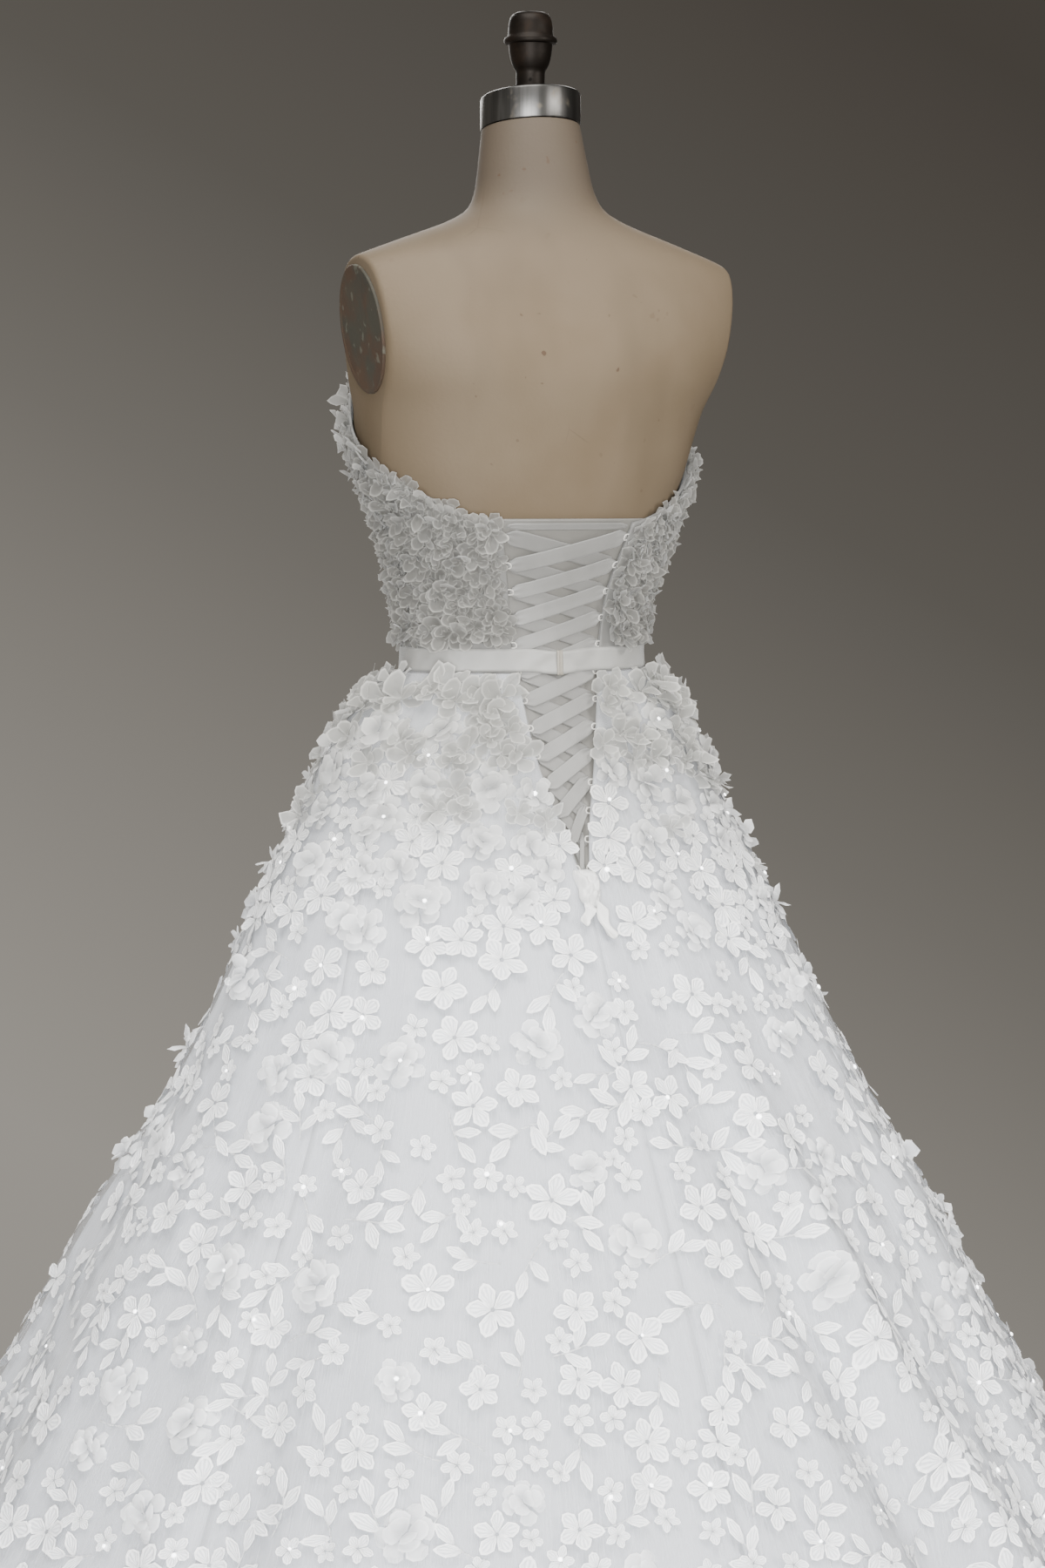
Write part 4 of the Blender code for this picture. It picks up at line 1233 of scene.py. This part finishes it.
# How far the skirt's small folds reach out, how far the tulle hangs off the satin, at least and in its waves,
# how far flowers and crystals stand off the tulle, and how far petals stand off the bodice.
SMALL_FOLD = 0.0042
TULLE_OFF = 0.0024
TULLE_WAVE = 0.0020
FLOWERS_OFF = 0.0006
CRYSTALS_OFF = 0.0030
PETALS_OFF = 0.0008

# The thickness of the cloths that are shown.
SKIRT_SATIN_THICK = 0.0016
PANEL_SATIN_THICK = 0.0008
BELT_SATIN_THICK = 0.0006
FOLD_SATIN_THICK = 0.0005
RIBBON_SATIN_THICK = 0.0004


def small_folds(angle, height):
    """Soft uneven folds of a few millimetres in the skirt's cloth, which fade out towards the waist."""
    low = np.clip((1.0 - height) / 1.0, 0, 1)
    wave = 0.5 * np.sin(31 * angle + 2.0 * np.sin(3 * height + angle)) + 0.3 * np.sin(53 * angle - 4 * height)
    wave += 0.35 * np.sin(17 * angle + 5.0 * height)
    return SMALL_FOLD * low * wave


def creases(angle, height):
    depth = 0.0
    for start, end, top, deep, half_width in CREASES:
        below = np.clip((top - height) / top, 0, None)
        middle = np.radians(between(start, end, below))
        off = np.abs(turn_from(angle, middle)) / math.radians(half_width)
        depth = depth + deep * below * (1 - ease(off))
    return depth


def on_satin(angle, height, *_):
    return small_folds(angle, height) + creases(angle, height)


def on_tulle(angle, height, *_):
    """How far out the tulle lies: it hangs off the satin in slow waves."""
    clear = TULLE_OFF + TULLE_WAVE * (1 + np.sin(23 * angle + 6 * height)) * np.clip((1.0 - height) * 2, 0, 1)
    return on_satin(angle, height) + clear


def over_tulle(angle, height):
    return on_tulle(angle, height) + FLOWERS_OFF


def over_flowers(angle, height):
    return on_tulle(angle, height) + CRYSTALS_OFF


def on_bodice(*_):
    return PETALS_OFF


def declare(piece, rests_on, trim=(), length=None):
    """Measures a sheet's span, takes it as the length where none is given, and leaves out missing trim;
    nothing is stated or returned.

    A length is given for a band that runs round or aslant, which is straight when it is laid flat.
    """
    points = mesh_points(piece.data)
    span = float(np.linalg.norm(points.max(axis=0) - points.min(axis=0)))
    length = length or span
    trim = [item for item in trim if item is not None]


# The panels from the centre back to the side, and the front: name, and the solid's columns, rows and flowers.
BODICE_PANELS = (("back", 4, 8, 4), ("side_back", 6, 8, 7), ("side_front", 9, 12, 9), ("front", 16, 12, 13))
SKIRT_PANELS = (("back", 10, 12, 13), ("side", 12, 12, 12), ("front", 18, 12, 16))


def panels(garment, sizes, seams, gap):
    """Each panel's name, its two edges, and the solid's columns, rows and flowers, from back to back."""
    *sides, front = sizes
    left, right = [], []
    for (name, *counts), seam, before in zip(sides, seams, (None, *seams)):
        start = seam_edge(before, 1) if before else lacing_edge(1, gap)
        end = seam_edge(-before, -1) if before else lacing_edge(-1, gap)
        left.append((f"{garment}_{name}_left", start, seam_edge(seam, -1), *counts))
        right.insert(0, (f"{garment}_{name}_right", seam_edge(-seam, 1), end, *counts))
    middle = (f"{garment}_front", seam_edge(seams[-1], 1), seam_edge(360 - seams[-1], -1), *front[1:])
    return *left, middle, *right


def solid_and_shown(garment, sizes, seams):
    """Each panel as the solid has it, beside the same panel with its lacing edge right at the cord."""
    return zip(panels(garment, sizes, seams, LOOP_EDGE_GAP), panels(garment, sizes, seams, SHOWN_EDGE_GAP))


BELT_TOP_Z = BELT_Z + BELT_WIDTH / 2
BELT_FOOT_Z = BELT_Z - BELT_WIDTH / 2

# The bodice's petals: how many places are tried on a panel, how many are kept at most, their sizes, and how
# near one another they stand.
BODICE_TRIES = 2200
MOST_ON_PANEL = 700
BODICE_PETALS = (0.0105, 0.0185)
ROOM_OF_LARGEST = 0.0040
LEAST_ROOM = 0.0036


def make_bodice(solid_draws):
    """Satin panels, each covered all over with loose organza flowers."""
    rng = np.random.default_rng(5)
    draws = random.Random(11)
    for solid, shown in solid_and_shown("bodice", BODICE_PANELS, BODICE_SEAMS):
        name, left, right, columns, rows, wanted = solid
        patch = bodice_patch(left, right)
        main = solid_flowers(patch, columns, rows, wanted, BODICE_FLOWER, solid_draws, BODICE_FLOWERS_FROM_Z)
        place = bodice_patch(shown[1], shown[2])
        panel = cloth_piece(name + "_panel", (columns * 6, 44), place, 0.0, CLOTH, BODICE_SATIN,
                            (name,))
        u, v = rng.random((2, BODICE_TRIES))
        angle, height = place(u, v)
        size = rng.uniform(*BODICE_PETALS, len(u))
        off_middle = np.abs(gown(angle, height)[:, 0])
        open_back = (np.abs(turn_from(angle, 0)) < 1.0) & (off_middle < gap_at(height) + 0.42 * size + 0.001)
        fits = (height > BELT_TOP_Z + 0.70 * size) & (height < neckline(angle) - 0.02 * size) & ~open_back
        angle, height, size = angle[fits], height[fits], size[fits]
        bed = Bed()
        for a, z, _ in main:
            bed.take(gown(a, z), ROOM_OF_LARGEST)
        kept = bed.sow(gown(angle, height), LEAST_ROOM + size * 0.10, MOST_ON_PANEL)
        spots = main + [(angle[i], height[i], size[i]) for i in kept]
        # The bodice's flowers take the darker organza, which is painted shade.
        petals = strewn(name + "_petals", RUFFLED, spots, SHADED_BODICE_ORGANZA, on_bodice, draws)
        declare(panel, "torso_shell", [petals])


def growth(angle, height):
    """How thickly the flowers grow: all over near the waist, lower down in wandering upright drifts."""
    wander = 1.6 * np.sin(height * 8.0 + 3.0 * np.sin(3 * angle)) + 0.9 * np.sin(height * 19 + 5 * angle)
    drift = 0.5 + 0.5 * np.sin(15 * angle + wander)
    patch = 0.5 + 0.5 * np.sin(7 * angle + 11 * height + 2 * np.sin(4 * angle))
    bare = between(0.10, 0.32, ease((0.55 - height) / 0.25))
    low = bare + (1 - bare) * drift**1.5 * (0.45 + 0.55 * patch)
    return between(low, 1.0, ease((height - 0.80) / 0.12))


def skirt_height(share):
    """The height above which this share of the skirt's cloth lies, as the skirt widens evenly."""
    return 1.058 - (np.sqrt(0.0256 + 0.51 * share) - 0.16) / 0.55


# The skirt's flowers: how many places are tried on a panel, how unevenly a band's foot is kept, the solid's
# columns all round, how far up the lacing is kept clear from, and the sizes of rosettes, large and small
# stitched flowers, leaf sprigs and loose petals.
SKIRT_TRIES = 9000
UNEVEN_FOOT = 0.035
COLUMNS_ALL_ROUND = sum(columns * (1 if name == "front" else 2) for name, columns, _, _ in SKIRT_PANELS)
CLEAR_FROM_Z = 0.805
SKIRT_SIZES = ((0.021, 0.028), (0.019, 0.026), (0.0115, 0.0155), (0.024, 0.032), (0.0165, 0.0235))


def make_skirt(solid_draws):
    """Satin panels under tulle, with rosettes, embroidered flowers, leaf sprigs and crystals on the tulle."""
    rng = np.random.default_rng(9)
    draws = random.Random(13)
    for solid, shown in solid_and_shown("skirt", SKIRT_PANELS, SKIRT_SEAMS):
        name, left, right, columns, rows, wanted = solid
        patch = skirt_patch(left, right)
        main = solid_flowers(patch, columns, rows, wanted, SKIRT_FLOWER, solid_draws,
                             highest=SKIRT_FLOWERS_TO_Z, room=KNOT_ROOM_X)
        place = skirt_patch(shown[1], shown[2])
        satin = cloth_piece(name + "_satin", (columns * 5, 84), place, on_satin, SKIRT_SATIN_THICK,
                            SKIRT_SATIN, (name,), 60)
        tulle = cloth_piece(name + "_tulle", (columns * 5, 78), place, on_tulle, None, TULLE,
                            (), 60)

        u, share = rng.random((2, SKIRT_TRIES))
        height = skirt_height(share)
        angle = between(left(height), right(height), u)
        points = gown(angle, height)
        centre = np.abs(turn_from(angle, 0)) < 0.8
        thick = growth(angle, height) > rng.random(len(u))
        faded = height + UNEVEN_FOOT * rng.standard_normal(len(u))

        bed = Bed()
        for a, z, r in main:
            bed.take(gown(a, z), r * 0.85)

        def chosen(size, room, count, band=None, lap=0.55, scale=1.0):
            """Places for one kind of flower, off the lacing and the belt, and clear of what is there.

            The room is a share of the size, and the count is for the whole skirt. In a band of heights the
            flowers grow all over, and without one only where the growth is thick.
            """
            room, size = size * room, size * scale
            opening = np.maximum(gap_at(height), np.where(height < KNOT_ROOM_TOP_Z, KNOT_ROOM, 0.0))
            hidden = (height > CLEAR_FROM_Z) & (np.abs(points[:, 0]) < opening + lap * size + 0.002)
            clear = ~(centre & hidden) & (height + (1.4 * lap - 0.2) * size < BELT_FOOT_Z)
            clear &= height > HEM_Z + 1.4 * size
            clear &= (faded >= band[0]) & (height <= band[1]) if band else thick
            picked = np.flatnonzero(clear)
            rng.shuffle(picked)
            kept = picked[bed.sow(points[picked], room[picked], int(count * (columns / COLUMNS_ALL_ROUND)))]
            return [(angle[i], height[i], size[i]) for i in kept]

        big, flat, small, leafy, broad = [rng.uniform(*sizes, len(u)) for sizes in SKIRT_SIZES]
        rosettes = main + chosen(big, 0.85, 90)
        rosettes += chosen(big, 0.62, 46, (0.87, 1.03), 0.40, 0.9)
        loose = chosen(broad, 0.36, 300, (1.005, 9.0), 0.30)
        large = chosen(flat, 0.62, 110, (0.88, 1.02), 0.40)
        large += chosen(flat, 0.80, 430)
        loose += chosen(broad, 0.60, 90, (0.92, 1.01), 0.30)
        little = chosen(small, 0.66, 150, (0.88, 1.01))
        little += chosen(small, 0.82, 500)
        sprigs = chosen(leafy, 0.42, 560)
        fill = chosen(small, 0.80, 140, (-1.0, 0.90))
        gems = [
            (a + draws.gauss(0, 0.005), z + draws.gauss(0, 0.0025), draws.uniform(0.0015, 0.0028))
            for a, z, _ in large[::4] + little[::6] + rosettes[::6]
        ]
        sown = (
            ("rosettes", ROSETTES, rosettes, PUFF, over_tulle),
            ("loose_petals", RUFFLED, loose, ORGANZA, on_tulle),
            ("large_flowers", LARGE_STITCHED, large, THREAD, over_tulle),
            ("small_flowers", SMALL_STITCHED, little + fill, THREAD, over_tulle),
            ("leaves", SPRIGS, sprigs, THREAD, over_tulle),
            ("crystals", CRYSTALS, gems, GLINTING_CRYSTAL, over_flowers),
        )
        trim = [strewn(f"{name}_{word}", *kind, draws) for word, *kind in sown]
        declare(satin, name.replace("skirt", "bodice") if "back" in name else "bodice_front")
        declare(tulle, name + "_satin", trim)


def make_modesty_panel():
    """The satin panel behind the lacing, with its stitched top hem."""

    def place(u, v):
        height = between(MODESTY_BOTTOM_Z, MODESTY_TOP_Z, v)
        reach = gap_at(np.minimum(height, LACING_GAP[-1][0])) + MODESTY_LAP
        return between(angle_at(reach, height), -angle_at(reach, height), u), height

    def relief(angle, height, u, v):
        hem = ease((height - (MODESTY_TOP_Z - 0.0105)) / 0.0012)
        stitched = np.exp(-(((height - (MODESTY_TOP_Z - 0.0100)) / 0.0009) ** 2))
        ripple = 0.00022 * np.sin(60 * u + 55 * height) * (1 - hem)
        return -CLOTH - MODESTY_GAP + 0.0003 * hem - 0.0003 * stitched + ripple - 0.0002

    # The panel's dark satin is painted shade behind the lacing.
    panel = cloth_piece("satin_panel", (40, 180), place, relief, PANEL_SATIN_THICK, SHADED_PANEL_SATIN,
                        ("modesty_panel",), flipped=False)
    declare(panel, "torso_shell")


# How far the edge of the belt's satin stands out from the solid belt's inside.
BAND_LIFT = 0.0004


def make_belt():
    """The belt in two halves round the waist, and the fold that joins them over the lacing."""

    def height_at(angle, v):
        dip = BELT_DIP * np.exp(-((turn_from(angle, 0) / BELT_DIP_SPREAD) ** 2))
        return BELT_Z - dip + BELT_WIDTH * (v - 0.5)

    def relief(angle, height, u, v):
        rim = 1 - np.abs(2 * v - 1)
        pillow = 0.0012 * ease(rim / 0.22) - 0.0003 * ease(rim / 0.6)
        off = np.abs(turn_from(angle, 0))
        pulled = 0.0005 * np.exp(-((off / 0.22) ** 2)) * np.sin(2 * math.pi * v + 22 * off)
        waves = 0.0003 * np.sin(26 * angle + 5 * v) * np.sin(7 * angle)
        return BELT_GAP + BAND_LIFT + pillow + pulled + waves

    for word, start, end in (("left", 0, 180), ("right", -180, 0)):
        first, last = (float(seam_edge(d, s)(np.array(BELT_Z))) for d, s in ((start, 1), (end, -1)))

        def place(u, v):
            angle = between(first, last, u)
            return angle, height_at(angle, v)

        band = cloth_piece("belt_band_" + word, (150, 12), place, relief, BELT_SATIN_THICK, BELT_SATIN,
                           ("belt_" + word,))
        declare(band, "bodice_front_panel", (), sheet_area(band) / BELT_WIDTH)

    half_turn = float(angle_at(CLOSURE_WIDTH / 2, np.array(BELT_Z)))

    def closure(u, v):
        angle = between(-half_turn, half_turn, u)
        return angle, height_at(angle, between(-0.04, 1.04, v))

    def closure_relief(angle, height, u, v):
        roll = np.abs(2 * u - 1)
        rim = 1 - np.abs(2 * v - 1)
        pinch = 0.0012 * np.exp(-(((u - 0.5) / 0.12) ** 2))
        pillow = 0.0012 * (1 - roll**4) * ease(rim / 0.2)
        return BELT_GAP + BELT_THICK + LAYER_GAP + BAND_LIFT + pillow - pinch

    join = cloth_piece("belt_join", (14, 20), closure, closure_relief, FOLD_SATIN_THICK, BEIGE_JOIN_SATIN,
                       ("belt_closure",))
    declare(join, "belt_band_left")


# ---- The lacing ----


def loop_reach(height):
    """How far a loop stands out into the opening."""
    return np.minimum(LOOP_REACH, LOOP_SHARE_OF_GAP * gap_at(height))


def lace_end(side, row):
    """Where a ribbon turns back at a loop, as the place to the side and the height."""
    height = LACING_TOP_Z - row * LACING_PITCH
    reach = float(gap_at(height) - loop_reach(height)) - LOOP_CORD_RADIUS - LACE_END_GAP
    return Vector((side * reach, height))


# How much of the room between two crossings a ribbon takes up at most.
WIDEST_IN_ROOM = 0.72


def make_lace(name, start, end, layer, widest, seed):
    """One stretch of ribbon between two loops, gathered into small pleats at each."""
    run = end - start
    across = Vector((-run.y, run.x)).normalized()
    room = LACING_PITCH * abs(run.x) / run.length
    width = min(widest, WIDEST_IN_ROOM * room)
    tuck = run.normalized() * RIBBON_THROUGH_LOOP
    start, run = start - tuck, run + 2 * tuck
    draws = random.Random(seed)
    lean, phase = draws.uniform(-0.5, 0.5), draws.uniform(0, 6)

    def from_end(u):
        return np.minimum(u, 1 - u) * run.length

    def place(u, v):
        narrow = between(0.30, 1.0, np.clip(from_end(u) / RIBBON_TAPER, 0, 1))
        side = (0.5 - v) * width * narrow
        x = start.x + run.x * u + across.x * side
        z = start.y + run.y * u + across.y * side
        return angle_at(x, z), z

    def relief(angle, height, u, v):
        near = np.exp(-((from_end(u) / 0.009) ** 2))
        pleats = 0.00045 * near * np.sin(v * 15 + phase)
        crease = 0.00010 * np.sin(2 * math.pi * v + phase + 3 * lean * u)
        rolled = 0.00012 * np.abs(2 * v - 1) ** 6
        arch = 0.0006 * ease(from_end(u) / 0.02)
        return -LACE_SINK - layer * (RIBBON_THICK + LACE_LAYER_GAP) - 0.0005 + pleats + crease + arch - rolled

    # Ribbons underneath take the darker satin, which is painted shade.
    satin = SHADED_UNDER_SATIN if layer else RIBBON_SATIN
    ribbon = cloth_piece(name + "_ribbon", (60, 12), place, relief, RIBBON_SATIN_THICK, satin,
                         (name,), flipped=False)
    declare(ribbon, "satin_panel", (), run.length)


def make_laces():
    """The stretch across the top, and at each crossing one stretch over another."""
    above = Vector((0.0, TOP_LACE_RISE))
    make_lace("lace_top", lace_end(1, 0) + above, lace_end(-1, 0) + above, 1, TOP_LACE_WIDTH, 3)
    for row in range(LACING_CROSSINGS):
        number = f"{row + 1:02d}"
        make_lace("lace_over_" + number, lace_end(1, row + 1), lace_end(-1, row), 0, RIBBON_WIDTH, 20 + row)
        make_lace("lace_under_" + number, lace_end(1, row), lace_end(-1, row + 1), 1, RIBBON_WIDTH, 50 + row)


# The cord's loops: points on each, half the height of one, and how far its ends lie under the edge.
POINTS_PER_LOOP = 11
LOOP_HALF = 0.0024
LOOP_UNDER_EDGE = 0.0012
SHOWN_CORD_RADIUS = 0.85 * LOOP_CORD_RADIUS


def make_loops():
    """A fine cord along each edge, which stands out in a round loop at each row of the lacing."""
    for side, word in ((1, "left"), (-1, "right")):
        xs, zs, rises = [], [], []
        for row in range(LACING_CROSSINGS + 1):
            middle = LACING_TOP_Z - row * LACING_PITCH
            reach = float(loop_reach(middle))
            for step in range(POINTS_PER_LOOP):
                turn = math.pi * step / (POINTS_PER_LOOP - 1)
                height = middle + LOOP_HALF * math.cos(turn) + 0.0005 * math.sin(2 * turn)
                out = (0.85 * reach + LOOP_UNDER_EDGE) * math.sin(turn) ** 0.7
                xs.append(float(gap_at(height)) + LOOP_UNDER_EDGE - out)
                zs.append(height)
                rises.append(-CLOTH / 2 + 0.0009 * math.sin(turn))
        xs, zs = np.array(xs), np.array(zs)
        points = gown(side * angle_at(xs, zs), zs, np.array(rises))
        name = "cord_loops_" + word
        curve = bpy.data.curves.new(name, "CURVE")
        curve.dimensions = "3D"
        curve.bevel_depth = SHOWN_CORD_RADIUS
        curve.bevel_resolution = 3
        curve.use_fill_caps = True
        line = curve.splines.new("POLY")
        line.points.add(len(points) - 1)
        for point, spot in zip(line.points, points):
            point.co = (*spot, 1.0)
        helper = bpy.data.objects.new("cord_helper", curve)
        mesh = bpy.data.meshes.new_from_object(helper)
        bpy.data.objects.remove(helper)
        bpy.data.curves.remove(curve)
        mesh.name = name
        mesh.materials.clear()
        add_piece(name, mesh, CORD, ("loops_" + word,), 60)


def make_knot():
    """The tied end of the lacing: a small puffed knot, and two creased tails."""
    wide, high = KNOT_HALF

    def knot(u, v):
        bulge = 1 - 0.45 * np.abs(2 * v - 1.2) ** 2 + 0.10 * np.sin(9 * v)
        height = KNOT_Z + 0.008 + (high + 0.009) * (2 * v - 1)
        return angle_at((wide + 0.0035) * bulge * (1 - 2 * u) + 0.001 * np.sin(8 * v), height), height

    def puff(angle, height, u, v):
        rim = np.minimum(np.minimum(u, 1 - u), np.minimum(v, 1 - v))
        folds = 0.0040 * np.abs(np.sin(5 * v + 6 * u)) + 0.0022 * np.abs(np.sin(10 * u - 7 * v)) - 0.003
        lain = on_tulle(angle, height) * ease((POINT_Z + 0.006 - height) / 0.012)
        return lain + 0.0006 + KNOT_THICK * ease(rim / 0.30) ** 0.6 + folds * ease(rim / 0.2)

    tied = cloth_piece("ribbon_knot", (28, 28), knot, puff, BELT_SATIN_THICK, KNOT_SATIN,
                       ("lace_knot",), 70, flipped=False)
    declare(tied, "skirt_back_left_satin")

    for side, word in ((1, "left"), (-1, "right")):

        def tail(u, v):
            drop = (0.72 * TAIL_LENGTH - 0.006 * (1 + side)) * (1 - v)
            height = KNOT_Z - high + 0.003 - drop + 0.004 * (1 - v) * np.abs(2 * u - 1) ** 2
            narrow = between(0.45, 1.0, ease((1 - v) / 0.3))
            middle = side * (0.0035 + 0.007 * (1 - v)) + 0.002 * np.sin(7 * v + side)
            return angle_at(middle + TAIL_WIDTH * narrow * (0.5 - u), height), height

        def crease(angle, height, u, v):
            waves = 0.0016 * np.sin(9 * v + 3 * u + side) + 0.0012 * np.sin(2 * math.pi * u + 4 * v)
            return on_tulle(angle, height) + KNOT_GAP + 0.0030 + waves

        end = cloth_piece("ribbon_tail_" + word, (12, 28), tail, crease, FOLD_SATIN_THICK, KNOT_SATIN,
                          ("lace_tail_" + word,), 70, flipped=False)
        declare(end, "ribbon_knot")


# ---- Floor, light and camera ----


FLOOR_RADIUS = 1.30
FLOOR_THICK = 0.01

# Each light's name, where it stands as seen from the camera, where it looks, its size, power and colour.
LIGHTS = (
    ("sky", (1.2, -0.1, 4.0), (0, 0, 0.6), (2.4, 2.0), 240, (1.0, 0.99, 0.97)),
    ("front", (3.6, -0.15, 1.1), (0, 0, 0.55), (1.6, 1.2), 262, (0.97, 0.985, 1.0)),
    ("right", (1.7, 2.6, 2.0), (0, 0, 1.35), (1.0, 1.0), 100, (1.0, 0.985, 0.96)),
    ("left", (1.2, -3.2, 1.5), (0, 0, 1.0), (1.6, 2.0), 6, (1.0, 0.98, 0.95)),
    ("behind", (-3.4, -0.5, 2.6), (0, 0, 0.8), (2.4, 2.0), 115, (1.0, 0.98, 0.95)),
)

# The backdrop: how much it leans to the side, the slope from its first colour to its last, and the colours.
BACKDROP_LEAN = 0.6
BACKDROP_REACH = (-0.27, 0.20)
BACKDROP = (
    (0.0, (0.345, 0.322, 0.287)),
    (0.45, (0.169, 0.157, 0.138)),
    (0.66, (0.109, 0.100, 0.087)),
    (1.0, (0.066, 0.058, 0.049)),
)


def make_floor():
    disc = bmesh.new()
    bmesh.ops.create_circle(disc, cap_ends=True, segments=96, radius=FLOOR_RADIUS)
    rim = bmesh.ops.extrude_face_region(disc, geom=disc.faces[:])
    low = [item for item in rim["geom"] if isinstance(item, bmesh.types.BMVert)]
    bmesh.ops.translate(disc, verts=low, vec=(0, 0, -FLOOR_THICK))
    bmesh.ops.recalc_face_normals(disc, faces=disc.faces)
    mesh = to_mesh(disc, "studio_floor")
    mesh.materials.append(floor_finish())
    link("studio_floor", mesh)


def make_light(name, seen_at, target, size, power, colour):
    lamp = bpy.data.lights.new(name, "AREA")
    lamp.shape = "RECTANGLE"
    lamp.size, lamp.size_y = size
    lamp.energy = power
    lamp.color = colour
    light = link(name, lamp)
    light.location = camera_side(*seen_at)
    light.rotation_euler = (Vector(target) - camera_side(*seen_at)).to_track_quat("-Z", "Y").to_euler()


def camera_side(forward, sideways, height):
    """A place seen from the camera: towards it, to its right, and a height."""
    back = Vector((math.sin(CAMERA_AZIMUTH), -math.cos(CAMERA_AZIMUTH), 0))
    right = Vector((0, 0, 1)).cross(back)
    return Vector((0, AXIS_Y, height)) + back * forward + right * sideways


def make_camera():
    """A camera that turns a little past the form's axis, and down from the horizon."""
    lens = bpy.data.cameras.new("camera")
    lens.sensor_fit = "VERTICAL"
    lens.sensor_height = SENSOR_MM
    lens.lens = SENSOR_MM / 2 / (FRAME_MIDDLE[1] * RADIANS_PER_PIXEL)
    camera = link("camera", lens)
    camera.location = camera_side(CAMERA_DISTANCE, 0, CAMERA_Z)
    look = (camera_side(0, 0, CAMERA_Z) - camera.location).normalized()
    right = look.cross(Vector((0, 0, 1))).normalized()
    look = (look - right * math.tan((AXIS_PIXEL - FRAME_MIDDLE[0]) * RADIANS_PER_PIXEL)).normalized()
    pitch = (FRAME_MIDDLE[1] - HORIZON_PIXEL) * RADIANS_PER_PIXEL
    look = look * math.cos(pitch) - Vector((0, 0, math.sin(pitch)))
    camera.rotation_euler = look.to_track_quat("-Z", "Y").to_euler()
    bpy.context.scene.camera = camera


def make_world():
    """A backdrop that grows lighter downwards and to the left."""
    world = bpy.data.worlds.new("studio")
    world.use_nodes = True
    bpy.context.scene.world = world
    nodes, links = world.node_tree.nodes, world.node_tree.links
    spot = nodes.new("ShaderNodeTexCoord")
    slope = nodes.new("ShaderNodeVectorMath")
    scale = nodes.new("ShaderNodeMapRange")
    ramp = nodes.new("ShaderNodeValToRGB")
    slope.operation = "DOT_PRODUCT"
    right = camera_side(0, 1, 0) - camera_side(0, 0, 0)
    slope.inputs[1].default_value = Vector((0, 0, 1)) + BACKDROP_LEAN * right
    scale.inputs["From Min"].default_value, scale.inputs["From Max"].default_value = BACKDROP_REACH
    while len(ramp.color_ramp.elements) < len(BACKDROP):
        ramp.color_ramp.elements.new(0.5)
    for stop, (place, colour) in zip(ramp.color_ramp.elements, BACKDROP):
        stop.position = place
        stop.color = (*colour, 1)
    links.new(spot.outputs["Generated"], slope.inputs[0])
    links.new(slope.outputs["Value"], scale.inputs["Value"])
    links.new(scale.outputs[0], ramp.inputs[0])
    links.new(ramp.outputs[0], nodes["Background"].inputs["Color"])


def main():
    make_floor()
    make_torso()
    for side, word in ((1, "left"), (-1, "right")):
        make_arm_plate(side, word)
    make_stand()
    solid_draws = random.Random(SEED)
    make_bodice(solid_draws)
    make_skirt(solid_draws)
    make_modesty_panel()
    make_belt()
    make_laces()
    make_loops()
    make_knot()
    for light in LIGHTS:
        make_light(*light)
    make_world()
    make_camera()


main()
